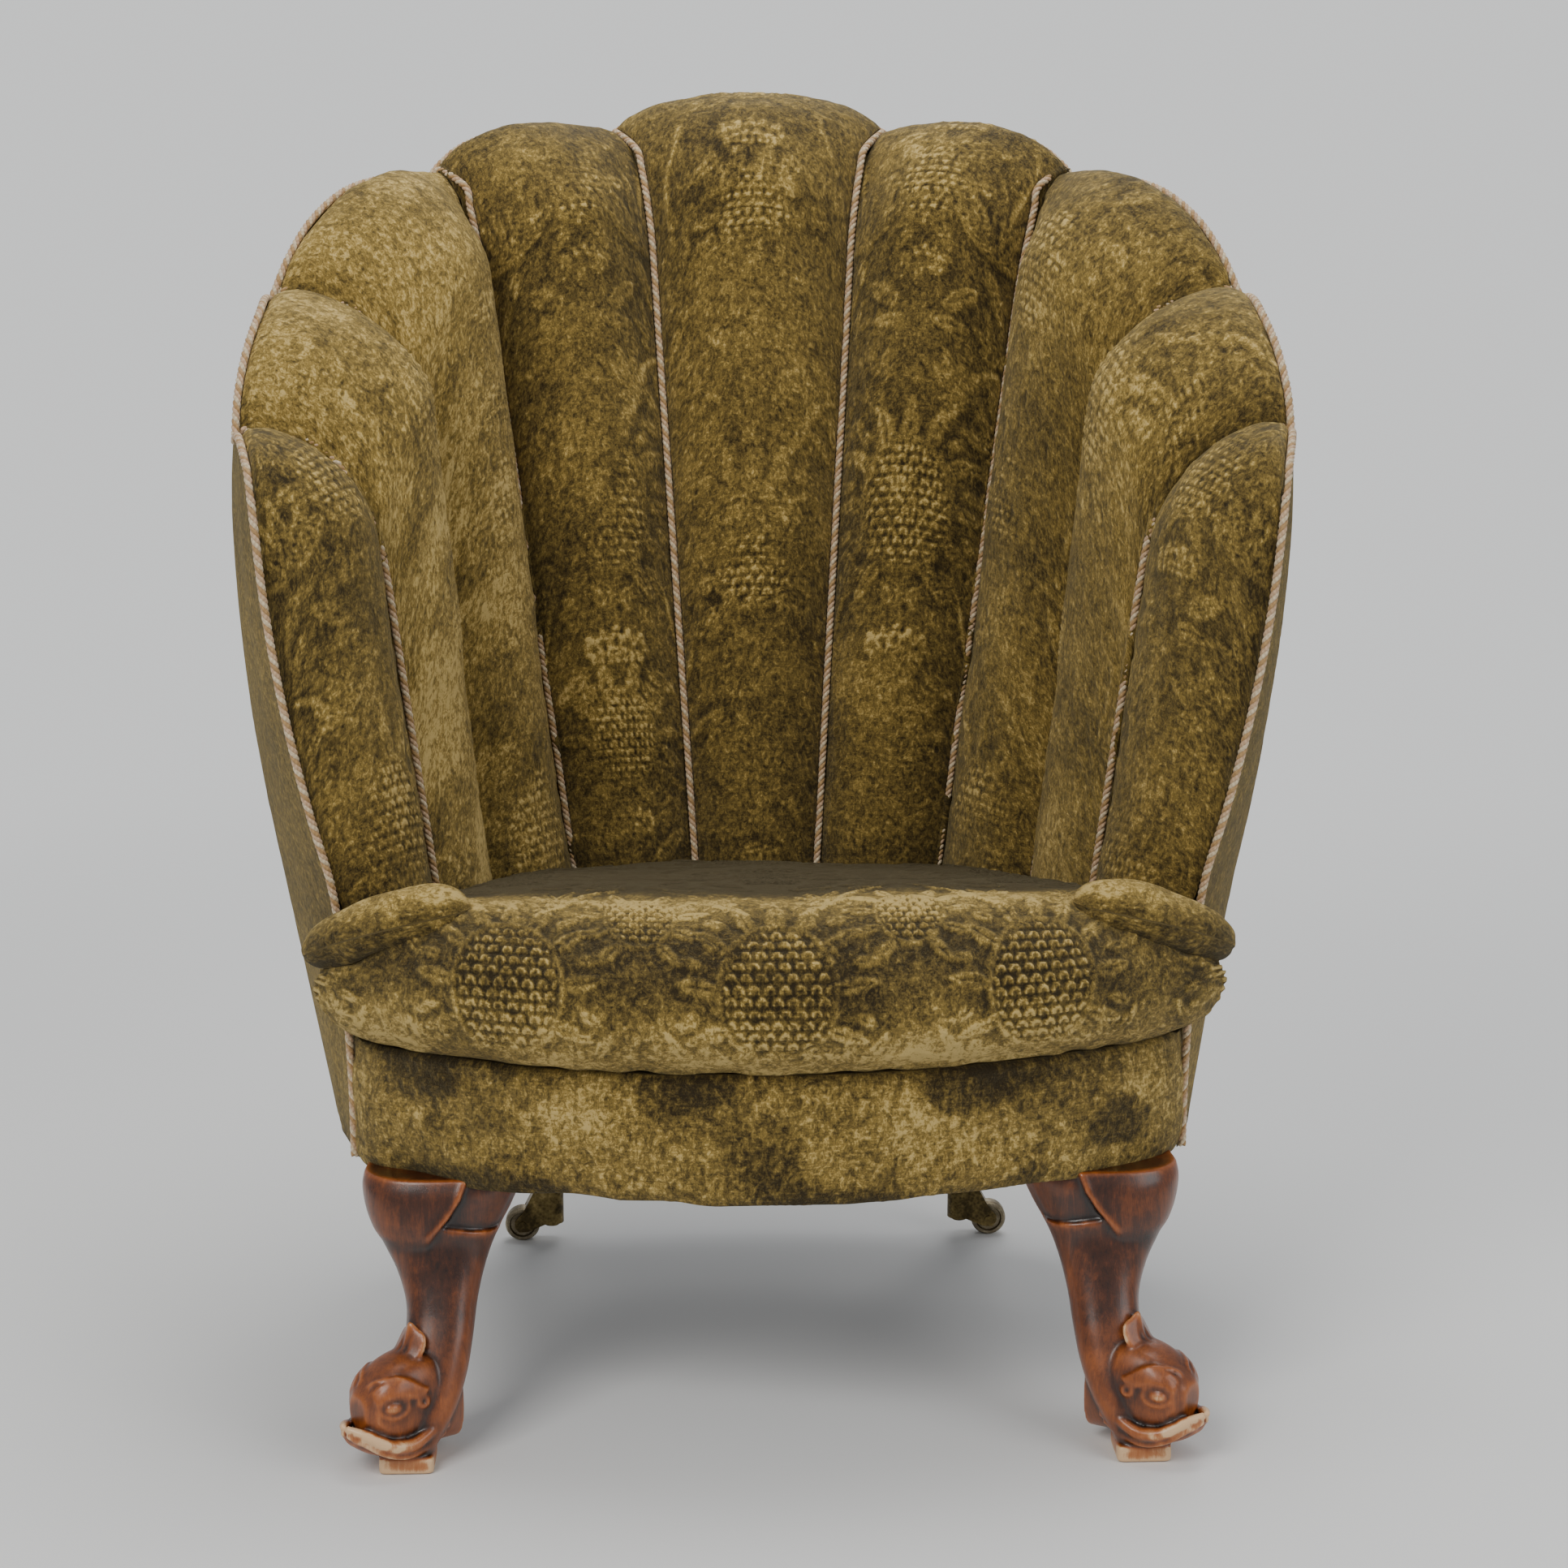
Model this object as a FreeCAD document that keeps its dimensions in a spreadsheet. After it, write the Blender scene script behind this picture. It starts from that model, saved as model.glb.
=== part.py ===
import FreeCAD, Part
import Sketcher
import math
import os
from FreeCAD import Vector

# Scallop back chair. Front faces -Y, +Z is up, the floor is z = 0 and x = 0 is the plane of symmetry.
# The back is a horseshoe in plan. A place on it is a bearing about the shell axis, counted from straight
# back, a height, and an inset from the outside cover towards the axis.

doc = FreeCAD.newDocument("scallop_back_chair")
sheet = doc.addObject("Spreadsheet::Sheet", "Sizes")

SIZES = [
    # outline of the outside cover
    ("axis_y", 56), ("base_z", 207), ("shoulder_z", 700), ("crown_z", 1000),
    ("half_base", 366), ("half_shoulder", 436), ("half_crown", 344),
    ("back_base_y", 233), ("back_lean", 0.155),
    ("arm_base_x", 336), ("arm_flare", 52), ("flare_from_z", 400), ("flare_rise", 350),
    ("arm_front_y", -170), ("arm_lean", 0.146),
    # scalloped edge: bearings and heights of the valleys and peaks
    ("valley_a1", 24.2), ("valley_a2", 57.5), ("valley_a3", 90), ("valley_a4", 114), ("valley_a5", 127.5),
    ("valley_z1", 1008), ("valley_z2", 974), ("valley_z3", 877), ("valley_z4", 776), ("valley_z5", 745),
    ("peak_a2", 39.3), ("peak_a3", 66), ("peak_a4", 97), ("peak_a5", 119),
    ("peak_z1", 1050), ("peak_z2", 1021), ("peak_z3", 979), ("peak_z4", 883), ("peak_z5", 786),
    # creases between the channels, at the seat and at the edge
    ("crease_z", 360),
    ("crease_x1", 59), ("crease_y1", 170), ("crease_top_x1", 99), ("crease_top_y1", 278),
    ("crease_x2", 172), ("crease_y2", 155), ("crease_top_x2", 256), ("crease_top_y2", 210),
    ("crease_x3", 246), ("crease_y3", 52), ("crease_top_x3", 312), ("crease_top_y3", 35),
    ("crease_x4", 270), ("crease_y4", -108), ("crease_top_x4", 325), ("crease_top_y4", -112),
    ("crease_roll", 110), ("channel_crown", 30), ("channel_bottom_z", 310), ("sewn_gap", 1.2),
    ("crown_roll", 70),
    # layers of the wall
    ("cover_thick", 3), ("frame_gap", 2), ("rail_thick", 20), ("hessian_thick", 1.5),
    ("edge_drop", 12), ("rail_drop", 20), ("crest_height", 46),
    ("stile_a1", 28), ("stile_a2", 74), ("arm_post_a1", 113), ("arm_post_a2", 120.5), ("stile_width_a", 5),
    ("tack_low_z", 318), ("tack_height", 34),
    # seat rails
    ("rail_low", 6), ("rail_height", 82), ("seat_rail_thick", 34), ("rail_joint_a", 46),
    ("rail_deep", 42), ("block_size", 46), ("block_thick", 30),
    # stuffed front border and seat
    ("border_front_y", -327), ("border_thick", 16), ("border_half", 329), ("border_side_y", -172),
    ("border_corner_x", 292), ("border_corner_y", -243), ("border_crown", 3), ("seam_z", 310),
    ("seat_front_y", -366), ("seat_half", 361), ("seat_crown_z", 432), ("seat_back_z", 366),
    ("seat_back_y", 192), ("seat_side_drop", 16),
    ("nose_depth", 84), ("nose_mid_z", 360),
    # arm pads
    ("pad_thick", 45), ("pad_length", 118), ("pad_x", 294), ("pad_y", -252), ("pad_z", 416), ("pad_tip_drop", 40),
    # cords
    ("cord_diameter", 6.6), ("cord_stand_off", 5),
    # front legs
    ("leg_post", 46), ("leg_post_x", 286), ("leg_post_y", -180),
    ("foot_x", 283), ("foot_y", -316), ("foot_size", 42), ("foot_thick", 13),
    ("head_turn", 39), ("head_length", 88),
    # rear legs and castors
    ("rear_leg_x", 190), ("rear_leg_y", 186), ("rear_leg_top", 40), ("rear_leg_foot", 34), ("rear_leg_rake", 26),
    ("wheel_radius", 16), ("wheel_width", 15), ("castor_trail", 27), ("castor_height", 62),
    ("plate_thick", 3), ("plate_size", 33), ("pivot_radius", 4), ("running_gap", 0.05),
    ("axle_radius", 2.5), ("horn_cheek", 2.6), ("side_gap", 0.6), ("lift_gap", 0.4), ("horn_nose", 11),
    ("pivot_head", 6.5), ("pivot_head_thick", 2.4), ("floor_gap", 14), ("tread_round", 3),
    ("screw_radius", 1.8), ("screw_length", 16), ("screw_inset", 5.5),
    # inside the seat
    ("web_width", 50), ("web_thick", 2), ("web_pitch", 84), ("spring_radius", 38), ("spring_waist", 22),
    ("spring_wire", 3.4), ("spring_turns", 5), ("spring_pitch_x", 120), ("spring_pitch_y", 112),
    ("spring_row_y", -44), ("cloth_thick", 1.2),
]
for row, (alias, number) in enumerate(SIZES, start=1):
    sheet.set("A%d" % row, alias)
    sheet.set("B%d" % row, str(number))
    sheet.setAlias("B%d" % row, alias)
doc.recompute()


def size(alias):
    """One driving dimension, read back from the sheet."""
    return float(getattr(sheet, alias))


def clamp(number):
    return min(1.0, max(0.0, number))


def smooth(number):
    """Rises from 0 to 1 with level ends."""
    t = clamp(number)
    return t * t * (3 - 2 * t)


def arch(number):
    """Quarter circle: 0 at 0, rising ever faster to 1 at 1."""
    t = clamp(number)
    return 1 - math.sqrt(1 - t * t)


# Shape of the shell

AXIS_Y = size("axis_y")
VALLEY_A = [size("valley_a%d" % n) for n in range(1, 6)]
VALLEY_Z = [size("valley_z%d" % n) for n in range(1, 6)]
PEAK_A = [0.0] + [size("peak_a%d" % n) for n in range(2, 6)]
PEAK_Z = [size("peak_z%d" % n) for n in range(1, 6)]
FRONT_A = VALLEY_A[4]


def shell_radius(bearing, z):
    """Distance from the shell axis to the outside cover: an ellipse behind the axis, a parabola before it."""
    base, shoulder = size("base_z"), size("shoulder_z")
    if z < shoulder:
        rise = max(0.0, shoulder - z) / (shoulder - base)
        half = size("half_shoulder") - (size("half_shoulder") - size("half_base")) * rise ** 1.8
    else:
        rise = (z - shoulder) / (size("crown_z") - shoulder)
        half = size("half_shoulder") - (size("half_shoulder") - size("half_crown")) * rise ** 2
    back = size("back_base_y") + size("back_lean") * (z - base) - AXIS_Y
    turn = math.radians(abs(bearing))
    side, rear = math.sin(turn), math.cos(turn)
    if rear >= 0:
        return 1 / math.hypot(side / half, rear / back)
    flare = clamp((z - size("flare_from_z")) / size("flare_rise"))
    arm = size("arm_base_x") + size("arm_flare") * (1 - (1 - flare) ** 2)
    reach = AXIS_Y - (size("arm_front_y") - size("arm_lean") * (z - base))
    bend = (half - arm) * (rear / side / reach) ** 2
    x = (math.sqrt(1 + 4 * bend * half) - 1) / (2 * bend)
    return x / side


def ring(bearing, z, inset=0.0):
    """Point at a bearing and height, inset from the outside cover."""
    turn = math.radians(bearing)
    radius = shell_radius(bearing, z) - inset
    return Vector(radius * math.sin(turn), AXIS_Y + radius * math.cos(turn), z)


def edge_height(bearing):
    """Height of the scalloped edge: each lobe is a quarter ellipse on either side of its peak."""
    a = abs(bearing)
    for n in range(5):
        if a <= VALLEY_A[n] or n == 4:
            low_a = -VALLEY_A[0] if n == 0 else VALLEY_A[n - 1]
            low_z = VALLEY_Z[0] if n == 0 else VALLEY_Z[n - 1]
            if a > PEAK_A[n]:
                low_a, low_z = VALLEY_A[n], VALLEY_Z[n]
            off = clamp((a - PEAK_A[n]) / (low_a - PEAK_A[n]))
            return low_z + (PEAK_Z[n] - low_z) * math.sqrt(1 - off * off)


def rail_top(bearing):
    """Height of the crest and arm rails: straight from valley to valley, under the scallops."""
    a = abs(bearing)
    knots_a = [0.0] + VALLEY_A
    knots_z = [VALLEY_Z[0]] + VALLEY_Z
    for n in range(5):
        if a <= knots_a[n + 1] or n == 4:
            t = (a - knots_a[n]) / (knots_a[n + 1] - knots_a[n])
            return knots_z[n] + (knots_z[n + 1] - knots_z[n]) * t - size("rail_drop")


WALL = size("cover_thick") + size("frame_gap") + size("rail_thick")


def back_inset(bearing, z):
    """Inset of a channel's back: inside the hessian, and out to the cover above the rails."""
    inner = WALL + size("hessian_thick")
    return inner - (inner - size("cover_thick")) * smooth((z - rail_top(bearing)) / 45)


def crease(n, z):
    """Crease n (1 to 5, counted from the middle), straight up the wall, then rolling out to its valley."""
    valley = ring(VALLEY_A[n - 1], z, back_inset(VALLEY_A[n - 1], z))
    if n == 5:
        return ring(FRONT_A, z, size("cover_thick") + 2)
    t = (z - size("crease_z")) / (VALLEY_Z[n - 1] - size("crease_z"))
    x = size("crease_x%d" % n) + (size("crease_top_x%d" % n) - size("crease_x%d" % n)) * t
    y = size("crease_y%d" % n) + (size("crease_top_y%d" % n) - size("crease_y%d" % n)) * t
    straight = Vector(x, y, z)
    roll = arch((z - VALLEY_Z[n - 1] + size("crease_roll")) / size("crease_roll"))
    return straight + (valley - straight) * roll


# Small makers

def lay(name, shape):
    """A sub-part whose shape is set directly, under its own name."""
    part = doc.addObject("Part::Feature", name)
    part.Label = name
    part.Shape = shape
    return part


def mirror(shape):
    return shape.mirror(Vector(0, 0, 0), Vector(1, 0, 0))


def pair(stem, shape):
    """A right-hand piece and its mirror image."""
    lay(stem + "_right", shape)
    lay(stem + "_left", mirror(shape))
    return shape


def wire(*items):
    """Closed wire. A plain point follows the last by a line; a (middle, end) pair follows it by an arc."""
    edges = []
    start = here = items[0]
    for item in items[1:]:
        if isinstance(item, tuple):
            edges.append(Part.Arc(here, item[0], item[1]).toShape())
            here = item[1]
        else:
            edges.append(Part.LineSegment(here, item).toShape())
            here = item
    if here.distanceToPoint(start) > 1e-6:
        edges.append(Part.LineSegment(here, start).toShape())
    return Part.Wire(edges)


def loft(wires, ruled=False):
    return Part.makeLoft(wires, True, ruled)


def slab(outline, low, high):
    """Upright prism on a closed plan outline."""
    face = Part.Face(outline)
    face.translate(Vector(0, 0, low))
    return face.extrude(Vector(0, 0, high - low))


def strip(bearings, low, high, outer, inner, steps=6):
    """Band of the wall between two insets. low, high, outer and inner are functions of bearing."""
    sections = []
    for a in bearings:
        levels = [low(a) + (high(a) - low(a)) * n / steps for n in range(steps + 1)]
        rise = [ring(a, z, outer(a)) for z in levels]
        fall = [ring(a, z, inner(a)) for z in reversed(levels)]
        sections.append(Part.makePolygon(rise + fall + rise[:1]))
    return loft(sections, True)


def rounded_path(points, share=0.45):
    """Straight runs joined by tangent arcs as large as the runs allow. Returns the wire and its length."""
    edges = []
    length = 0.0
    here = points[0]
    for before, corner, after in zip(points, points[1:], points[2:]):
        run_in, run_out = corner - before, after - corner
        cut = share * min(run_in.Length, run_out.Length)
        first = corner - run_in.normalize() * cut
        last = corner + run_out.normalize() * cut
        half_turn = run_in.getAngle(run_out) / 2
        middle_way = (first + last) * 0.5
        sag = (middle_way - corner).Length
        bow = (first - middle_way).Length * math.tan(half_turn / 2)
        middle = middle_way + (corner - middle_way) * (bow / sag)
        edges.append(Part.LineSegment(here, first).toShape())
        edges.append(Part.Arc(first, middle, last).toShape())
        length += (first - here).Length + cut / math.tan(half_turn) * 2 * half_turn
        here = last
    edges.append(Part.LineSegment(here, points[-1]).toShape())
    length += (points[-1] - here).Length
    return Part.Wire(edges), length


def tube(name, points, radius):
    """Round cord along a path; its volume is set against its section times its length."""
    path, length = rounded_path(points)
    start = points[0]
    ring_wire = Part.Wire([Part.makeCircle(radius, start, points[1] - start)])
    solid = path.makePipeShell([ring_wire], True, False)
    print(name, "length %.0f mm, volume ratio %.4f" % (length, solid.Volume / (math.pi * radius ** 2 * length)))
    return solid


# Velvet channels of the back and arms

def lobe_limits(n, z):
    """Bearings between which channel n stands at a height: its two creases, then its own rounded top."""
    if n == 0:
        low_a, low_z = -VALLEY_A[0], VALLEY_Z[0]
    else:
        low_a, low_z = VALLEY_A[n - 1], VALLEY_Z[n - 1]
    high_a, high_z = VALLEY_A[n], VALLEY_Z[n]
    limits = []
    for valley_a, valley_z in ((low_a, low_z), (high_a, high_z)):
        rise = clamp((z - valley_z) / (PEAK_Z[n] - valley_z))
        limits.append(PEAK_A[n] + (valley_a - PEAK_A[n]) * math.sqrt(1 - rise * rise))
    return limits


def crease_side(n, side, z, bearing):
    """Front corner of a channel's section: on its crease, or on its own edge above the valley."""
    number = n + side
    valley_z = VALLEY_Z[0] if number == 0 else VALLEY_Z[number - 1]
    if number == 5:
        return ring(bearing, z, size("cover_thick") + 2)
    if z >= valley_z:
        return ring(bearing, z, back_inset(bearing, z) + 4 + 30 * (1 - arch(z / PEAK_Z[n])))
    if number == 0:
        point = crease(1, z)
        return Vector(-point.x, point.y, z)
    return crease(number, z)


def channel_section(n, z):
    """Level section: crown arc in front, two sewn sides, and a back that lies on the hessian."""
    low_a, high_a = lobe_limits(n, z)
    middle_a = (low_a + high_a) / 2
    front = [crease_side(n, 0, z, low_a), crease_side(n, 1, z, high_a)]
    back = [ring(a, z, back_inset(a, z)) for a in (low_a, high_a)]
    back_middle = ring(middle_a, z, back_inset(middle_a, z))
    along = (front[1] - front[0]).normalize()
    gap = size("sewn_gap")
    front = [front[0] + along * gap, front[1] - along * gap]
    back = [back[0] + along * gap, back[1] - along * gap]
    inward = Vector(along.y, -along.x, 0)
    if n == 4:
        back[1] = ring(high_a, z, size("cover_thick") + 0.5) + Vector(0, 6, 0)
    fade = math.sqrt(1 - clamp((z - PEAK_Z[n] + size("crown_roll")) / size("crown_roll")) ** 2)
    crown = size("channel_crown") * (0.35 + 0.65 * fade)
    middle = (front[0] + front[1]) * 0.5 + inward * crown
    return wire(front[0], (middle, front[1]), back[1], (back_middle, back[0]), front[0])


def channel_levels(n):
    """Heights of the sections: even up the wall, then closing up towards the rounded top."""
    low = size("channel_bottom_z")
    shoulder = min(VALLEY_Z[max(n - 1, 0)], VALLEY_Z[n]) - size("crown_roll")
    span = PEAK_Z[n] - shoulder
    wall = [low + (shoulder - low) * k / 5 for k in range(5)]
    steps = 13
    return wall + [shoulder + span * math.sin(math.pi / 2 * k / steps) for k in range(steps)]


def channel(n):
    return loft([channel_section(n, z) for z in channel_levels(n)], True)


# Frame of the back and arms

FRAME_IN = size("cover_thick") + size("frame_gap")
RAIL_LOW = size("base_z") + size("rail_low")
RAIL_TOP = RAIL_LOW + size("rail_height")
POST_END = size("arm_post_a2")


def shared_bearings():
    """Bearings that all strips of the frame share: the ends of its pieces, and about every 6 degrees between."""
    half = size("stile_width_a") / 2
    ends = [size("stile_a1") - half, size("stile_a1") + half, size("stile_a2") - half, size("stile_a2") + half,
            size("arm_post_a1"), POST_END, POST_END + 4, VALLEY_A[1], size("rail_joint_a")]
    marks = [0.0] + sorted(ends)
    between = []
    for low, high in zip(marks, marks[1:]):
        count = max(1, round((high - low) / 6))
        between += [low + (high - low) * n / count for n in range(count)]
    between.append(marks[-1])
    return [-a for a in reversed(between[1:])] + between


SHARED_A = shared_bearings()


def spread(low, high):
    """Shared bearings from low to high, with both ends."""
    return [low] + [a for a in SHARED_A if low + 0.01 < a < high - 0.01] + [high]


def scallop_bearings(low, high):
    """Bearings that keep every valley and peak, with more beside the valleys where the edge is steep."""
    marks = set([low, high])
    edges = [-VALLEY_A[0]] + VALLEY_A
    for n in range(5):
        for share in (0.0, 0.04, 0.15, 0.35, 0.65, 0.85, 0.96):
            for a in (edges[n] + (edges[n + 1] - edges[n]) * share, PEAK_A[n]):
                marks.update([a, -a])
    kept = [low]
    for a in sorted(marks):
        if kept[-1] + 0.5 < a < high - 0.5:
            kept.append(a)
    return kept + [high]


def fixed(number):
    return lambda bearing: number


def rail_under(bearing):
    return rail_top(bearing) - size("crest_height")


def frame_strip(low_a, high_a, low, high, outer=FRAME_IN, inner=WALL):
    return strip(spread(low_a, high_a), low, high, fixed(outer), fixed(inner))


def stile(middle_a):
    half = size("stile_width_a") / 2
    return frame_strip(middle_a - half, middle_a + half, fixed(RAIL_TOP), rail_under)


stiles = [stile(size("stile_a1")), stile(size("stile_a2"))]
arm_post = frame_strip(size("arm_post_a1"), POST_END, fixed(RAIL_TOP), rail_under)
tack_top = size("tack_low_z") + size("tack_height")
tacking = frame_strip(-POST_END, POST_END, fixed(size("tack_low_z")), fixed(tack_top))
crest = frame_strip(-VALLEY_A[1], VALLEY_A[1], rail_under, rail_top)
arm_rail = frame_strip(VALLEY_A[1], POST_END, rail_under, rail_top)
stiles = [stiles[0].cut(crest), stiles[1].cut(arm_rail)]
arm_post = arm_post.cut(arm_rail)
for upright in stiles + [arm_post]:
    tacking = tacking.cut(upright).cut(mirror(upright))
uprights = [stiles[0], mirror(stiles[0]), stiles[1], mirror(stiles[1]), arm_post, mirror(arm_post)]
hessian = frame_strip(-POST_END, POST_END, fixed(RAIL_TOP + 2), rail_top, WALL, WALL + size("hessian_thick"))
for wood in uprights + [crest, tacking, arm_rail, mirror(arm_rail)]:
    hessian = hessian.cut(wood)
hessian = max(hessian.Solids, key=lambda solid: solid.Volume)
lay("back_hessian", hessian)
# all the room from outside the cover to the inner face of the hessian, where no stuffing goes
wall_room = frame_strip(-POST_END, POST_END, fixed(RAIL_TOP + 2), rail_top, -8, WALL + size("hessian_thick"))


# Outside covers

def cover_top(bearing):
    return edge_height(bearing) - size("edge_drop")


def cover(low_a, high_a, outer=0):
    bearings = scallop_bearings(low_a, high_a)
    return strip(bearings, fixed(size("base_z")), cover_top, fixed(outer), fixed(size("cover_thick")), 8)


side_cover = cover(VALLEY_A[1], FRONT_A - 0.3)
back_cover = cover(-VALLEY_A[1], VALLEY_A[1])
side_cover_room = cover(VALLEY_A[1], FRONT_A - 0.3, -8)
back_cover_room = cover(-VALLEY_A[1], VALLEY_A[1], -8)


def trim(wood):
    """A right-hand piece of the frame, held back to the inside of the outside covers."""
    return wood.cut(side_cover_room).cut(back_cover_room)


crest = trim(crest).cut(mirror(side_cover_room))
tacking = trim(tacking).cut(mirror(side_cover_room))
arm_rail, arm_post = trim(arm_rail), trim(arm_post)
stiles = [trim(stile_piece) for stile_piece in stiles]
lay("tacking_rails", tacking)
lay("back_stiles", Part.makeCompound([stiles[0], mirror(stiles[0])]))
lay("side_stiles", Part.makeCompound([stiles[1], mirror(stiles[1])]))
lay("crest_rail", crest)
pair("arm_post", arm_post)
pair("arm_rail", arm_rail)


# Cords in the creases and down the arm fronts

CORD_R = size("cord_diameter") / 2
CREASE_HEIGHTS = (0.12, 0.3, 0.48, 0.66, 0.81, 0.92, 0.98)


def crease_cord(n, radius=CORD_R):
    """Route in front of crease n, from the seat to its valley, over which it rolls outwards."""
    top = VALLEY_Z[n - 1]
    low = size("channel_bottom_z")
    points = []
    for share in CREASE_HEIGHTS:
        z = low + (top - low) * share
        here = crease(n, z)
        inward = (Vector(0, AXIS_Y, z) - here).normalize()
        points.append(here + inward * size("cord_stand_off"))
    return tube("crease_cord_%d" % n, points, radius)


def arm_cord(radius=CORD_R):
    """Route up the seat rail's corner and the arm front, then round the scalloped edge to the middle."""
    points = []
    for z in (size("base_z") + CORD_R, 262, 318, 374, 430, 486, 542, 598, 654, VALLEY_Z[4] - 38):
        points.append(ring(FRONT_A, z) + Vector(1.0, -CORD_R - 0.3, 0))
    for n in (4, 3, 2, 1, 0):
        low_a = VALLEY_A[n - 1] if n else 0.0
        bearings = [PEAK_A[n] + (VALLEY_A[n] - PEAK_A[n]) * share for share in (0.93, 0.75, 0.45, 0.1)]
        bearings += [PEAK_A[n] + (low_a - PEAK_A[n]) * share for share in (0.4, 0.85)] if n else [0.0]
        for a in bearings:
            points.append(ring(a, cover_top(a) + CORD_R + 0.4, -1.0))
    return tube("arm_cord", points, radius)


crease_cords = [crease_cord(n) for n in range(1, 5)]
for n, cord in enumerate(crease_cords, start=1):
    pair("crease_cord_%d" % n, cord)
front_cord = arm_cord()
pair("arm_cord", front_cord)
# the groove that each cord presses into the velvet is a little wider than the cord
GROOVE_R = CORD_R + 0.2
grooves = [crease_cord(n, GROOVE_R) for n in range(1, 5)]
edge_groove = arm_cord(GROOVE_R)
back_cover = back_cover.cut(edge_groove).cut(mirror(edge_groove))
side_cover = side_cover.cut(edge_groove)
lay("outside_back", back_cover)
pair("outside_cover", side_cover)


# Channels, pressed in by their cords

channels = []
for n in range(5):
    shape = channel(n).cut(wall_room)
    cutters = [back_cover_room] if n < 2 else [side_cover_room]
    cutters += [edge_groove] + ([grooves[n - 1]] if n else [grooves[0], mirror(grooves[0]), mirror(edge_groove)])
    cutters += [grooves[n]] if 0 < n < 4 else []
    cutters += [stiles[1]] if n == 2 else []
    for cutter in cutters:
        shape = shape.cut(cutter)
    channels.append(max(shape.Solids, key=lambda solid: solid.Volume))
lay("channel_middle", channels[0])
for n in range(1, 5):
    pair("channel_%d" % n, channels[n])


# Seat frame and the border that covers it in front

BOW_HALF = size("border_corner_x")
BOW_RISE = size("border_corner_y") - size("border_front_y")
BOW_R = (BOW_HALF ** 2 + BOW_RISE ** 2) / (2 * BOW_RISE)


def bow(x, z, inset=0.0):
    """Point on the bowed front of the seat at x, inset from the border's face."""
    return Vector(x, size("border_front_y") + BOW_R - math.sqrt((BOW_R - inset) ** 2 - x * x), z)


def flip(point):
    return Vector(-point.x, point.y, point.z)


def border_face(inset, z):
    """Right-hand end of the bow, middle of the rounded corner and end of the return, inset from the face."""
    half, side_y = size("border_half"), size("border_side_y")
    turn_x = BOW_HALF + (half - BOW_HALF) * 0.72
    turn_y = size("border_corner_y") + (side_y - size("border_corner_y")) * 0.36
    corner = bow(BOW_HALF - 0.3 * inset, z, inset)
    turn = Vector(turn_x - 0.75 * inset, turn_y + 0.66 * inset, z)
    return corner, turn, Vector(half - inset, side_y, z)


def border_outline(z, swell):
    """Plan of the border: a bow, two rounded corners and two short returns, all one thickness deep."""
    inset = size("border_thick")
    out_corner, out_turn, out_end = border_face(-swell, z)
    in_corner, in_turn, in_end = border_face(inset, z)
    return wire(flip(out_end), (flip(out_turn), flip(out_corner)), (bow(0, z, -swell), out_corner),
                (out_turn, out_end), in_end, (in_turn, in_corner), (bow(0, z, inset), flip(in_corner)),
                (flip(in_turn), flip(in_end)), flip(out_end))


SEAM_Z = size("seam_z")
border_levels = [0.0, 0.05, 0.14, 0.3, 0.5, 0.7, 0.88, 1.0]
border_rise = SEAM_Z - size("base_z")
border = loft([border_outline(size("base_z") + border_rise * t,
                              size("border_crown") * math.sin(math.pi * t) - 4 * max(0, 1 - t / 0.14) ** 2)
               for t in border_levels], True)
border = border.cut(side_cover_room).cut(mirror(side_cover_room)).cut(edge_groove).cut(mirror(edge_groove))

POST_X, POST_Y, POST = size("leg_post_x"), size("leg_post_y"), size("leg_post")
POST_HALF = POST / 2
RAIL_IN = FRAME_IN + size("seat_rail_thick")
leg_post = Part.makeBox(POST, POST, size("rail_height"), Vector(POST_X - POST_HALF, POST_Y - POST_HALF, RAIL_LOW))
rail_end = POST_X - POST_HALF
front_outline = wire(bow(-rail_end, 0, size("border_thick")),
                     (bow(0, 0, size("border_thick")), bow(rail_end, 0, size("border_thick"))),
                     bow(rail_end, 0, size("border_thick") + size("rail_deep")),
                     (bow(0, 0, size("border_thick") + size("rail_deep")),
                      bow(-rail_end, 0, size("border_thick") + size("rail_deep"))))
front_rail = slab(front_outline, RAIL_LOW, RAIL_TOP)


# Legs

def oval(x, y, z, half_x, half_y, square=0.78):
    """Level rounded section of four arcs; square says how far the corners are filled."""
    def at(across, along):
        return Vector(x + half_x * across, y + half_y * along, z)
    c = square
    return wire(at(1, 0), (at(c, c), at(0, 1)), (at(-c, c), at(-1, 0)), (at(-c, -c), at(0, -1)), (at(c, -c), at(1, 0)))


FOOT_X, FOOT_Y = size("foot_x"), size("foot_y")
KNEE_Z = RAIL_LOW
# height share, x and y from the foot, half width, half depth
LEG_SHAPE = [
    (1.00, -25, 92, 59, 47), (0.94, -25, 89, 61, 49), (0.85, -23, 82, 55, 45), (0.75, -22, 73, 44, 38),
    (0.65, -24, 61, 34, 32), (0.54, -25, 47, 27.5, 27.5), (0.43, -23, 34, 26.5, 26), (0.31, -17, 22, 28, 26),
    (0.20, -9, 11, 28, 25), (0.10, -2, 3, 23, 22), (0.055, 0, 0, 20, 20),
]
leg_stem = loft([oval(FOOT_X + x, FOOT_Y + y, KNEE_Z * t, half_x, half_y) for t, x, y, half_x, half_y in LEG_SHAPE])
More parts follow.
